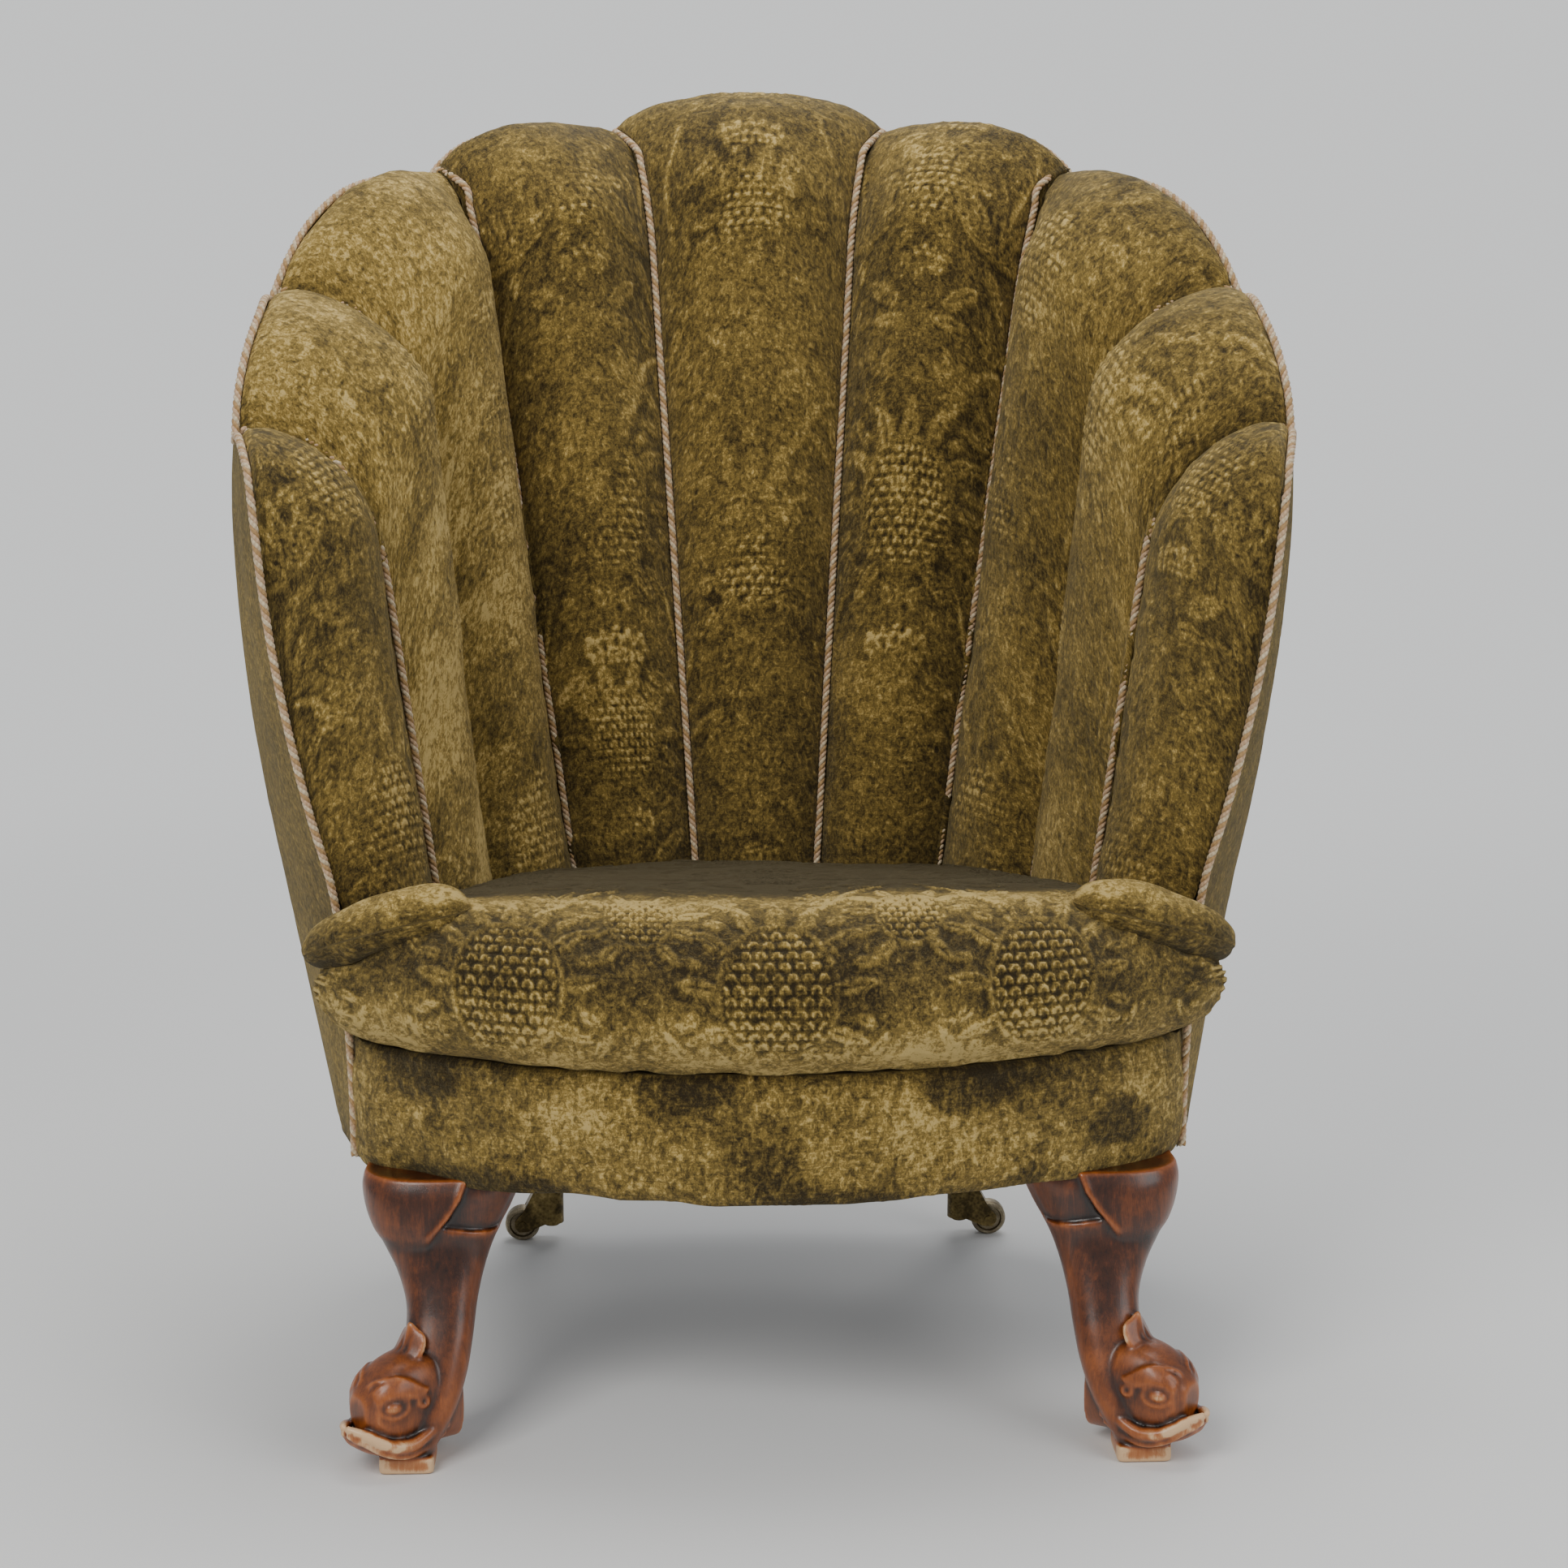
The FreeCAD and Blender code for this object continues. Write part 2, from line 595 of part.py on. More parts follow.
# distance along the head, low and high edge, half width
HEAD_SHAPE = [(-6, 22, 74, 18), (8, 16, 82, 25), (26, 13, 87, 27.5), (44, 13, 86, 27), (58, 14, 79, 24),
              (66, 17, 66, 20), (73, 21, 54, 18), (81, 24, 46, 15), (88, 30, 43, 8)]
HEAD_DIR = Vector(math.cos(math.radians(size("head_turn"))), -math.sin(math.radians(size("head_turn"))), 0)
HEAD_SIDE = Vector(-HEAD_DIR.y, HEAD_DIR.x, 0)
HEAD_ROOT = Vector(FOOT_X - 21, FOOT_Y + 26, 0)


def head_section(along, low, high, half):
    """Upright rounded section across the dolphin head."""
    centre = HEAD_ROOT + HEAD_DIR * (along * size("head_length") / HEAD_SHAPE[-1][0]) + Vector(0, 0, (low + high) / 2)
    rise = Vector(0, 0, (high - low) / 2)
    side = HEAD_SIDE * half
    c = 0.76
    return wire(centre + side, (centre + (side + rise) * c, centre + rise), (centre + (rise - side) * c, centre - side),
                (centre - (side + rise) * c, centre - rise), (centre + (side - rise) * c, centre + side))


head = loft([head_section(*row) for row in HEAD_SHAPE])
half_foot = size("foot_size") / 2
foot_pad = Part.makeBox(size("foot_size"), size("foot_size"), size("foot_thick"),
                        Vector(FOOT_X - half_foot, FOOT_Y - half_foot, 0))
foot_pad = foot_pad.makeChamfer(1.5, [e for e in foot_pad.Edges if e.BoundBox.ZLength < 0.1 and e.BoundBox.ZMax < 0.1])
front_leg = leg_post.fuse([leg_stem, head, foot_pad])
front_rail = front_rail.cut(front_leg).cut(mirror(front_leg))
border = border.cut(front_leg).cut(mirror(front_leg))
border = max(border.Solids, key=lambda solid: solid.Volume)
lay("front_border", border)
lay("front_rail", front_rail)
pair("front_leg", front_leg)

# Rear legs: square, tapered and raked, let into the seat rail
REAR_X, REAR_Y = size("rear_leg_x"), size("rear_leg_y")
PLATE_TOP = size("castor_height")


def square(x, y, z, side):
    h = side / 2
    return Part.makePolygon([Vector(x + h, y + h, z), Vector(x - h, y + h, z), Vector(x - h, y - h, z),
                             Vector(x + h, y - h, z), Vector(x + h, y + h, z)])


rake = size("rear_leg_rake")
rear_leg = loft([square(REAR_X - rake, REAR_Y - rake, RAIL_TOP, size("rear_leg_top")),
                 square(REAR_X, REAR_Y, PLATE_TOP, size("rear_leg_foot"))], True)
PLATE_LOW = PLATE_TOP - size("plate_thick")
screw_reach = size("plate_size") / 2 - size("screw_inset")


def screw(across, along):
    """Countersunk wood screw, flush with the plate."""
    foot = Vector(REAR_X + across * screw_reach, REAR_Y + along * screw_reach, PLATE_LOW)
    radius = size("screw_radius")
    head = Part.makeCone(radius * 1.8, radius, size("plate_thick") * 0.8, foot)
    return head.fuse(Part.makeCylinder(radius, size("screw_length"), foot)).removeSplitter()


plate_screws = [screw(across, along) for across in (-1, 1) for along in (-1, 1)]
rear_leg = rear_leg.cut(Part.makeCompound(plate_screws))
pair("rear_leg", rear_leg)

joint_a = size("rail_joint_a")
side_rail = frame_strip(joint_a, POST_END + 4, fixed(RAIL_LOW), fixed(RAIL_TOP), FRAME_IN, RAIL_IN)
side_rail = trim(side_rail).cut(front_leg).cut(rear_leg).cut(border)
back_rail = frame_strip(-joint_a, joint_a, fixed(RAIL_LOW), fixed(RAIL_TOP), FRAME_IN, RAIL_IN)
back_rail = trim(back_rail).cut(mirror(side_cover_room)).cut(rear_leg).cut(mirror(rear_leg))
pair("side_rail", side_rail)
lay("back_rail", back_rail)

# Corner blocks, glued in the angle of each front post and the front rail
block = size("block_size")
block_corner = Vector(POST_X - POST_HALF, POST_Y - POST_HALF + POST, RAIL_LOW + 10)
block_outline = Part.makePolygon([block_corner, block_corner + Vector(-block, -POST, 0),
                                  block_corner + Vector(-block, -POST - 2 * POST, 0),
                                  block_corner + Vector(0, -POST, 0), block_corner])
corner_block = Part.Face(block_outline).extrude(Vector(0, 0, size("rail_height") - 2 * 10))
corner_block = corner_block.cut(front_rail).cut(front_leg)
corner_block = max(corner_block.Solids, key=lambda solid: solid.Volume)
lay("corner_blocks", Part.makeCompound([corner_block, mirror(corner_block)]))


# Inside the seat

def seat_plan(z, wall_inset, front_inset):
    """Level outline inside the wall and the border, as a closed polygon."""
    right = [ring(a, RAIL_LOW, wall_inset) for a in spread(0, 122)]
    right = [Vector(point.x, point.y, z) for point in right]
    front = [bow(x, z, front_inset) for x in (262, 200, 100)]
    half = right + front
    left = [Vector(-point.x, point.y, z) for point in reversed(half[1:])]
    return Part.makePolygon(half + [bow(0, z, front_inset)] + left + half[:1])


LEGS = [front_leg, mirror(front_leg), rear_leg, mirror(rear_leg)]
web = size("web_thick")
web_plan = slab(seat_plan(0, FRAME_IN + 8, size("border_thick") + 8), RAIL_LOW - 2 * web, RAIL_LOW)
long_webs, cross_webs = [], []
for n in (-2, -1, 0, 1, 2):
    at = n * size("web_pitch") - size("web_width") / 2
    long_webs.append(Part.makeBox(size("web_width"), 900, web, Vector(at, -450, RAIL_LOW - 2 * web)))
    cross_webs.append(Part.makeBox(900, size("web_width"), web, Vector(-450, at + size("spring_row_y"), RAIL_LOW - web)))
webs = [strap.common(web_plan).cut(Part.makeCompound(LEGS)) for strap in long_webs + cross_webs]
lay("seat_webbing", Part.makeCompound([solid for strap in webs for solid in strap.Solids]))

cloth = size("cloth_thick")
bottom = slab(seat_plan(0, FRAME_IN, size("border_thick") + 2), RAIL_LOW - 2 * web - cloth, RAIL_LOW - 2 * web)
for edge in LEGS + [border, side_cover, mirror(side_cover), back_cover]:
    bottom = bottom.cut(edge)
lay("bottom_cloth", max(bottom.Solids, key=lambda solid: solid.Volume))

deck = slab(seat_plan(0, WALL + 5, size("border_thick") + 4), RAIL_TOP, RAIL_TOP + cloth)
lay("spring_hessian", deck)
stuffing = slab(seat_plan(0, WALL + 5, size("border_thick") + 4), RAIL_TOP + cloth, SEAM_Z)
lay("seat_stuffing", stuffing)


def biarc(start, start_way, end, end_way):
    """Two arcs that leave start and reach end along the given unit directions."""
    chord = end - start
    ways = start_way + end_way
    spare = 2 * (1 - start_way.dot(end_way))
    along = chord.dot(ways)
    reach = (math.sqrt(along * along + spare * chord.dot(chord)) - along) / spare
    first, second = start + start_way * reach, end - end_way * reach
    join = (first + second) * 0.5

    def arc(a, corner, b):
        middle = (a + b) * 0.5
        half = (a - b).Length / 2
        lean = math.acos(half / (corner - a).Length)
        return Part.Arc(a, middle + (corner - middle).normalize() * half * math.tan(lean / 2), b).toShape()
    return [arc(start, first, join), arc(join, second, end)]


def spring(x, y):
    """Waisted coil: quarter turns of a helix whose radius narrows to the middle."""
    wire_r = size("spring_wire") / 2
    low, high = RAIL_LOW + wire_r, RAIL_TOP - wire_r
    quarters = int(round(size("spring_turns") * 4))
    narrow = size("spring_radius") - size("spring_waist")

    def helix(q):
        t = q / quarters
        radius = size("spring_radius") - wire_r - narrow * math.sin(math.pi * t)
        turn = q * math.pi / 2
        return Vector(x + radius * math.cos(turn), y + radius * math.sin(turn), low + (high - low) * t)

    def way(q):
        return (helix(q + 0.01) - helix(q - 0.01)).normalize()

    edges = []
    for q in range(quarters):
        edges += biarc(helix(q), way(q), helix(q + 1), way(q + 1))
    path = Part.Wire(edges)
    return path.makePipeShell([Part.Wire([Part.makeCircle(wire_r, helix(0), way(0))])], True, False)


one_spring = spring(0, 0)
springs = []
for column in (-1, 0, 1):
    for row in (-1, 0, 1):
        coil = one_spring.copy()
        coil.translate(Vector(column * size("spring_pitch_x"), size("spring_row_y") + row * size("spring_pitch_y"), 0))
        springs.append(coil)
lay("seat_springs", Part.makeCompound(springs))


# Seat: a bull-nosed front that runs out over the border, and a crown that falls towards the back

BACK_Y, CROWN_Z, REAR_Z = size("seat_back_y"), size("seat_crown_z"), size("seat_back_z")
NOSE_Z = size("nose_mid_z")
NOSE_OUT = size("border_front_y") - size("seat_front_y")


def nose(z):
    """How far the nose stands out from the border at a height: half an ellipse, fuller below its middle."""
    reach = size("nose_depth")
    rise = (z - NOSE_Z) / (CROWN_Z - NOSE_Z) if z > NOSE_Z else (NOSE_Z - z) / (NOSE_Z - SEAM_Z) * 0.88
    return NOSE_OUT - reach + reach * math.sqrt(max(0.0, 1 - rise * rise))


def seat_outline(z):
    """Plan of the seat at a height: the border's outline pushed out by the nose, and straight sides behind."""
    corner, turn, end = border_face(-nose(z), z)
    rear = Vector(size("crease_x3"), BACK_Y - 60, z)
    back = Vector(0, BACK_Y, z)
    return wire(flip(end), (flip(turn), flip(corner)), (bow(0, z, -nose(z)), corner), (turn, end), rear,
                (back, flip(rear)), flip(end))


def crown_section(y, z):
    """Upright section that trims the top of the seat to one crown arc."""
    half = size("seat_half") + 40
    low = Vector(half, y, SEAM_Z - 5)
    edge = Vector(half, y, z - size("seat_side_drop"))
    return wire(flip(low), low, edge, (Vector(0, y, z), flip(edge)), flip(low))


NOSE_STEPS = (0, 0.04, 0.12, 0.24, 0.4, 0.56, 0.7, 0.82, 0.91, 0.965, 0.99, 1)
seat_body = loft([seat_outline(SEAM_Z + (CROWN_Z - SEAM_Z) * t) for t in NOSE_STEPS], True)
front_y = size("seat_front_y")
crown_cut = [crown_section(front_y - 10 + (BACK_Y + 30 - front_y) * t,
                           CROWN_Z - (CROWN_Z - REAR_Z) * smooth((t - 0.14) / 0.9))
             for t in (0, 0.14, 0.3, 0.45, 0.6, 0.75, 0.88, 1)]
seat = seat_body.common(loft(crown_cut))
walls = [wall_room] + channels + [mirror(shape) for shape in channels[1:]]
cord_room = [edge_groove] + grooves
walls += cord_room + [mirror(shape) for shape in cord_room] + [side_cover_room, mirror(side_cover_room)]
walls += [arm_post, mirror(arm_post), border]
for wall in walls:
    seat = seat.cut(wall)
seat = max(seat.Solids, key=lambda solid: solid.Volume)
lay("seat", seat)


# Arm pads: short stuffed rolls that curl round the foot of each arm

def pad_section(t):
    """Round section of the roll at share t from its inner to its outer end."""
    reach = size("pad_length") / 2
    side = 2 * t - 1
    swell = math.sqrt(max(0.05, 1 - abs(side) ** 3.2))
    radius = size("pad_thick") / 2 * swell
    x = size("pad_x") + reach * side
    y = size("pad_y") + 22 * side * side + 10 * side
    z = size("pad_z") + 6 - size("pad_tip_drop") * clamp(t) ** 2
    way = Vector(reach, 22 * 2 * side + 10, -size("pad_tip_drop") * t).normalize()
    across = Vector(0, 0, 1).cross(way).normalize()
    rise = way.cross(across)
    centre = Vector(x, y, z)
    a, b = across * radius, rise * radius * 0.92
    c = math.sqrt(0.5)
    return wire(centre + a, (centre + (a + b) * c, centre + b), (centre + (b - a) * c, centre - a),
                (centre - (a + b) * c, centre - b), (centre + (a - b) * c, centre + a))


pad = loft([pad_section(t) for t in (0.0, 0.06, 0.18, 0.34, 0.5, 0.66, 0.82, 0.94, 1.0)])
for wall in [seat, channels[4], channels[3], side_cover_room, edge_groove, grooves[3], arm_post, wall_room]:
    pad = pad.cut(wall)
pad = max(pad.Solids, key=lambda solid: solid.Volume)
pair("arm_pad", pad)


# Castors: a plate screwed under each rear leg, a riveted pivot pin, a horn, and a wheel on its axle.
# The castors trail outwards, away from the middle of the chair.

def total(*terms):
    """Sum of numbers, aliases and (factor, alias) pairs, as a value and as an expression on the sheet."""
    value, words = 0.0, ["0"]
    for term in terms:
        if isinstance(term, str):
            term = (1, term)
        if isinstance(term, tuple):
            value += term[0] * size(term[1])
            words.append("+ (%g) * Sizes.%s" % term)
        else:
            value += term
            words.append("+ (%g)" % term)
    return value, " ".join(words)


def bind(item, **bound):
    """Ties properties of an object to the sheet; x, y and z are its place."""
    for key, terms in bound.items():
        target = ".Placement.Base." + key if key in ("x", "y", "z") else key
        item.setExpression(target, total(*terms)[1])
    return item


def cylinder(name, radius, height, x, y, z, way=None):
    """Cylinder bound to the sheet; way turns its axis from +Z to +Y."""
    item = bind(doc.addObject("Part::Cylinder", name), Radius=radius, Height=height, x=x, y=y, z=z)
    if way == "Y":
        item.Placement.Rotation = FreeCAD.Rotation(Vector(1, 0, 0), -90)
    return item


def join(kind, name, first, *others):
    """Cut, or fuse, of objects of the document."""
    if kind == "cut":
        item = doc.addObject("Part::Cut", name)
        item.Base = first
        tool = others[0]
        if len(others) > 1:
            tool = doc.addObject("Part::MultiFuse", name + "_tools")
            tool.Shapes = list(others)
        item.Tool = tool
    else:
        item = doc.addObject("Part::MultiFuse", name)
        item.Shapes = [first] + list(others)
    return item


def profile(body, name, role, corners):
    """Closed sketch of straight lines whose corners are all bound to the sheet."""
    sketch = body.newObject("Sketcher::SketchObject", name)
    plane = [item for item in body.Origin.OriginFeatures if item.Role == role][0]
    sketch.AttachmentSupport = [(plane, "")]
    sketch.MapMode = "FlatFace"
    spots = [Vector(total(*x)[0], total(*y)[0], 0) for x, y in corners]
    count = len(spots)
    for n in range(count):
        sketch.addGeometry(Part.LineSegment(spots[n], spots[(n + 1) % count]), False)
    for n in range(count):
        sketch.addConstraint(Sketcher.Constraint("Coincident", n, 2, (n + 1) % count, 1))
    for n, (x, y) in enumerate(corners):
        for kind, terms, value in (("DistanceX", x, spots[n].x), ("DistanceY", y, spots[n].y)):
            index = sketch.addConstraint(Sketcher.Constraint(kind, -1, 1, n, 1, value))
            sketch.setExpression("Constraints[%d]" % index, total(*terms)[1])
    return sketch


HALF_WHEEL = (0.5, "wheel_width")
BORE = ("axle_radius", "running_gap")
WHEEL_SIDE = [
    (BORE, 0.0), (("axle_radius", 3.5), 0.0), (("axle_radius", 4.5), 2.4), (("wheel_radius", -5), 2.4),
    (("wheel_radius", -4), 0.0), (("wheel_radius", (-0.6, "tread_round")), 0.0),
    (("wheel_radius",), 3.0),
]


def wheel(name, side):
    """Turned wheel: bored hub, dished web and a rounded tread, revolved about its axle."""
    body = doc.addObject("PartDesign::Body", name)
    near = [(radius, ((-0.5, "wheel_width"), depth)) for radius, depth in WHEEL_SIDE]
    far = [(radius, (HALF_WHEEL, -depth)) for radius, depth in reversed(WHEEL_SIDE)]
    sketch = profile(body, name + "_profile", "XY_Plane", near + far)
    turned = body.newObject("PartDesign::Revolution", name + "_turned")
    turned.Profile = sketch
    turned.ReferenceAxis = (sketch, ["V_Axis"])
    turned.Angle = 360
    bind(body, x=((side, "rear_leg_x"), (side, "castor_trail")), y=("rear_leg_y",), z=("wheel_radius",))
    return body


CHEEK_HALF = ((0.5, "wheel_width"), "side_gap", "horn_cheek")
HORN_LOW = ("floor_gap", "pivot_head_thick", "lift_gap")
HORN_TOP = ("castor_height", (-1, "plate_thick"), (-1, "lift_gap"))


def horn(name, side):
    """Horn: side profile as wide as both cheeks, with a round nose, cut for the wheel, pin and axle."""
    body = doc.addObject("PartDesign::Body", name + "_web")
    outline = [
        (0.0, HORN_LOW), ((6,), HORN_LOW), (("castor_trail", -5), ("wheel_radius", -6)),
        (("castor_trail", 3), ("wheel_radius", -6.5)), (("castor_trail", 7), ("wheel_radius", -2)),
        (("castor_trail", 7), ("wheel_radius", 4)), (("castor_trail", -1), ("wheel_radius", 13)),
        ((11,), HORN_TOP), (0.0, HORN_TOP),
    ]
    outline = [(x if isinstance(x, tuple) else (x,), z) for x, z in outline]
    sketch = profile(body, name + "_profile", "XZ_Plane", outline)
    pad = body.newObject("PartDesign::Pad", name + "_pad")
    pad.Profile = sketch
    pad.Midplane = True
    pad.setExpression("Length", total(*[(2, term) if isinstance(term, str) else (2 * term[0], term[1])
                                        for term in CHEEK_HALF])[1])
    if side < 0:
        body.Placement.Rotation = FreeCAD.Rotation(Vector(0, 0, 1), 180)
    bind(body, x=((side, "rear_leg_x"),), y=("rear_leg_y",), z=(0.0,))
    pin_x, wheel_x = ((side, "rear_leg_x"),), ((side, "rear_leg_x"), (side, "castor_trail"))
    here_y = ("rear_leg_y",)
    rise = HORN_TOP + tuple((-1, term) for term in HORN_LOW)
    nose = cylinder(name + "_nose", ("horn_nose",), rise, pin_x, here_y, HORN_LOW)
    bore = cylinder(name + "_bore", ("pivot_radius", "running_gap"), rise, pin_x, here_y, HORN_LOW)
    room = cylinder(name + "_room", ("wheel_radius", 1.2), ("wheel_width", (2, "side_gap")), wheel_x,
                    ("rear_leg_y", (-0.5, "wheel_width"), (-1, "side_gap")), ("wheel_radius",), "Y")
    hole = cylinder(name + "_hole", ("axle_radius",), (60,), wheel_x, ("rear_leg_y", -30), ("wheel_radius",), "Y")
    return join("cut", name, join("fuse", name + "_blank", body, nose), bore, room, hole)


all_screws = []
for side, hand in ((1, "right"), (-1, "left")):
    pin_x, wheel_x = ((side, "rear_leg_x"),), ((side, "rear_leg_x"), (side, "castor_trail"))
    here_y = ("rear_leg_y",)
    plate = doc.addObject("Part::Box", "plate_blank_" + hand)
    bind(plate, Length=("plate_size",), Width=("plate_size",), Height=("plate_thick",),
         x=((side, "rear_leg_x"), (-0.5, "plate_size")), y=("rear_leg_y", (-0.5, "plate_size")),
         z=("castor_height", (-1, "plate_thick")))
    pin_hole = cylinder("plate_hole_" + hand, ("pivot_radius",), ("plate_thick",), pin_x, here_y,
                        ("castor_height", (-1, "plate_thick")))
    screws = lay("plate_screws_" + hand, Part.makeCompound(
        [shape if side > 0 else mirror(shape) for shape in plate_screws]))
    join("cut", "castor_plate_" + hand, plate, pin_hole, screws)
    all_screws += screws.Shape.Solids
    shank = cylinder("pivot_shank_" + hand, ("pivot_radius",), ("castor_height", (-1, "floor_gap")), pin_x, here_y,
                     ("floor_gap",))
    rivet = cylinder("pivot_rivet_" + hand, ("pivot_head",), ("pivot_head_thick",), pin_x, here_y, ("floor_gap",))
    join("fuse", "castor_pivot_" + hand, shank, rivet)
    horn("castor_horn_" + hand, side)
    wheel("castor_wheel_" + hand, side)
    pin = cylinder("axle_pin_" + hand, ("axle_radius",),
                   ("wheel_width", (2, "side_gap"), (2, "horn_cheek")), wheel_x,
                   ("rear_leg_y", (-0.5, "wheel_width"), (-1, "side_gap"), (-1, "horn_cheek")), ("wheel_radius",), "Y")
    heads = []
    for end, shift in (("front", (-1,)), ("back", (1,))):
        sign = shift[0]
        start = ("rear_leg_y", (0.5 * sign, "wheel_width"), (sign, "side_gap"), (sign, "horn_cheek"), -0.6 + 0.6 * sign)
        heads.append(cylinder("axle_%s_%s" % (end, hand), ("axle_radius", 1.5), (1.2,), wheel_x, start,
                              ("wheel_radius",), "Y"))
    join("fuse", "castor_axle_" + hand, pin, *heads)

lay("castor_screws", Part.makeCompound(all_screws))

NODES = ["channel_middle", "outside_back", "back_hessian", "tacking_rails", "crest_rail", "front_border",
         "front_rail", "back_rail", "corner_blocks", "seat_webbing", "bottom_cloth", "spring_hessian",
         "seat_stuffing", "seat_springs", "seat", "back_stiles", "side_stiles", "castor_screws"]
PAIRS = ["channel_1", "channel_2", "channel_3", "channel_4", "crease_cord_1", "crease_cord_2", "crease_cord_3",
         "crease_cord_4", "arm_cord", "outside_cover", "arm_post", "arm_rail",
         "side_rail", "front_leg", "rear_leg", "arm_pad", "castor_plate", "castor_pivot", "castor_horn",
         "castor_wheel", "castor_axle"]
NODES += [stem + hand for stem in PAIRS for hand in ("_left", "_right")]

doc.recompute()
for item in doc.Objects:
    if "Invalid" in item.State or "Error" in item.State:
        raise RuntimeError("failed: " + item.Label)
for name in NODES:
    shape = doc.getObjectsByLabel(name)[0].Shape
    if shape.isNull() or not shape.isValid() or shape.Volume <= 0:
        raise RuntimeError("bad shape: " + name)
if len(NODES) > 60:
    raise RuntimeError("too many nodes")

os.makedirs("parts", exist_ok=True)
for name in NODES:
    doc.getObjectsByLabel(name)[0].Shape.exportStep("parts/%s.step" % name)
print(len(NODES), "nodes written")
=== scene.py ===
import math
import bmesh
import bpy
import numpy as np
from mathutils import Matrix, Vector


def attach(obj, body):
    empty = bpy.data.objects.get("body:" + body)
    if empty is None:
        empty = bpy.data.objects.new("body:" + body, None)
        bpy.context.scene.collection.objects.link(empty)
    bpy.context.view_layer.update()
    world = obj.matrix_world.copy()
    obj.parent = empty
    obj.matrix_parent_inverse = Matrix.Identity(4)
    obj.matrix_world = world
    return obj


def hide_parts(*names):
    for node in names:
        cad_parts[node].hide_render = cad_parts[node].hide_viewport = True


# Scallop back chair dressed over its frame. Shapes are worked out in millimetres and laid into the meshes
# in metres. The chair faces -Y and x = 0 is the plane of symmetry.

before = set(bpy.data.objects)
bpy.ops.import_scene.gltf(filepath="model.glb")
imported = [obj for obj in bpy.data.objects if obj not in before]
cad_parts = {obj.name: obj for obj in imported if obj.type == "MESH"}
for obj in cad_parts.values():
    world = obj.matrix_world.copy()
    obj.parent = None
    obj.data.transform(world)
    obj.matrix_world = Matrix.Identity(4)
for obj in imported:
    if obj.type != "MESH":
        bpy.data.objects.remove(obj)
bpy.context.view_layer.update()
MIRROR = np.array([-1.0, 1.0, 1.0])


# Nodes of materials

def srgb(r, g, b):
    """A colour picked on an 8-bit scale, as linear light."""
    scaled = [c / 255.0 for c in (r, g, b)]
    return tuple(c / 12.92 if c <= 0.04045 else ((c + 0.055) / 1.055) ** 2.4 for c in scaled) + (1.0,)


def plug(tree, node, inputs):
    """Sets inputs of a node, or links them where the value is another node's output."""
    for key, value in inputs.items():
        if isinstance(value, bpy.types.NodeSocket):
            tree.links.new(value, node.inputs[key])
        else:
            node.inputs[key].default_value = value


def add_node(tree, kind, inputs=None, **settings):
    """A node of one kind with its settings and inputs."""
    node = tree.nodes.new("ShaderNode" + kind)
    for key, value in settings.items():
        setattr(node, key, value)
    plug(tree, node, inputs or {})
    return node


# Camera, floor and light

# name, place and aim in metres, breadth, power, tint
LAMPS = [("key", (-1.5, -2.4, 2.6), (0, 0, 0.55), 1.6, 62, (1.0, 0.98, 0.95)),
         ("fill", (2.2, -2.0, 1.7), (0, 0, 0.5), 1.8, 26, (1, 1, 1)),
         ("top", (0.2, 0.4, 3.0), (0, 0, 0.6), 1.6, 34, (1, 1, 1)),
         ("rear", (0.6, 2.6, 2.0), (0, 0, 0.6), 1.6, 20, (1, 1, 1))]
FLOOR_HALF = 14.0


def aimed(way):
    """The turn of a camera or lamp that looks along a direction."""
    return Vector(way).to_track_quat("-Z", "Y").to_euler()


def place_camera():
    """Camera at the photograph's place, aim and lens."""
    data = bpy.data.cameras.new("viewpoint")
    data.sensor_width = 36.0
    data.lens = 69.76
    data.clip_end = 60
    camera = bpy.data.objects.new("viewpoint", data)
    bpy.context.scene.collection.objects.link(camera)
    camera.location = (-0.08227, -2.51346, 0.974)
    camera.rotation_euler = aimed((0.039342, 0.979530, -0.197418))
    bpy.context.scene.camera = camera


def soft_lamp(name, spot, aim, breadth, watts, tint):
    """A broad square lamp."""
    data = bpy.data.lights.new(name, "AREA")
    data.shape = "RECTANGLE"
    data.size, data.size_y = breadth, breadth
    data.energy = watts
    data.color = tint
    lamp = bpy.data.objects.new(name, data)
    bpy.context.scene.collection.objects.link(lamp)
    lamp.location = spot
    lamp.rotation_euler = aimed(Vector(aim) - Vector(spot))


def surroundings():
    """A pale room: one tone for the camera, a softer one that lights the chair."""
    world = bpy.data.worlds.new("studio")
    bpy.context.scene.world = world
    world.use_nodes = True
    tree = world.node_tree
    tree.nodes.clear()
    shown = add_node(tree, "Background", {"Color": (0.86, 0.87, 0.87, 1), "Strength": 1.0})
    lit = add_node(tree, "Background", {"Color": (0.93, 0.96, 1.0, 1), "Strength": 0.42})
    seen = add_node(tree, "LightPath").outputs["Is Camera Ray"]
    pick = add_node(tree, "MixShader", {0: seen, 1: lit.outputs[0], 2: shown.outputs[0]})
    add_node(tree, "OutputWorld", {"Surface": pick.outputs[0]})


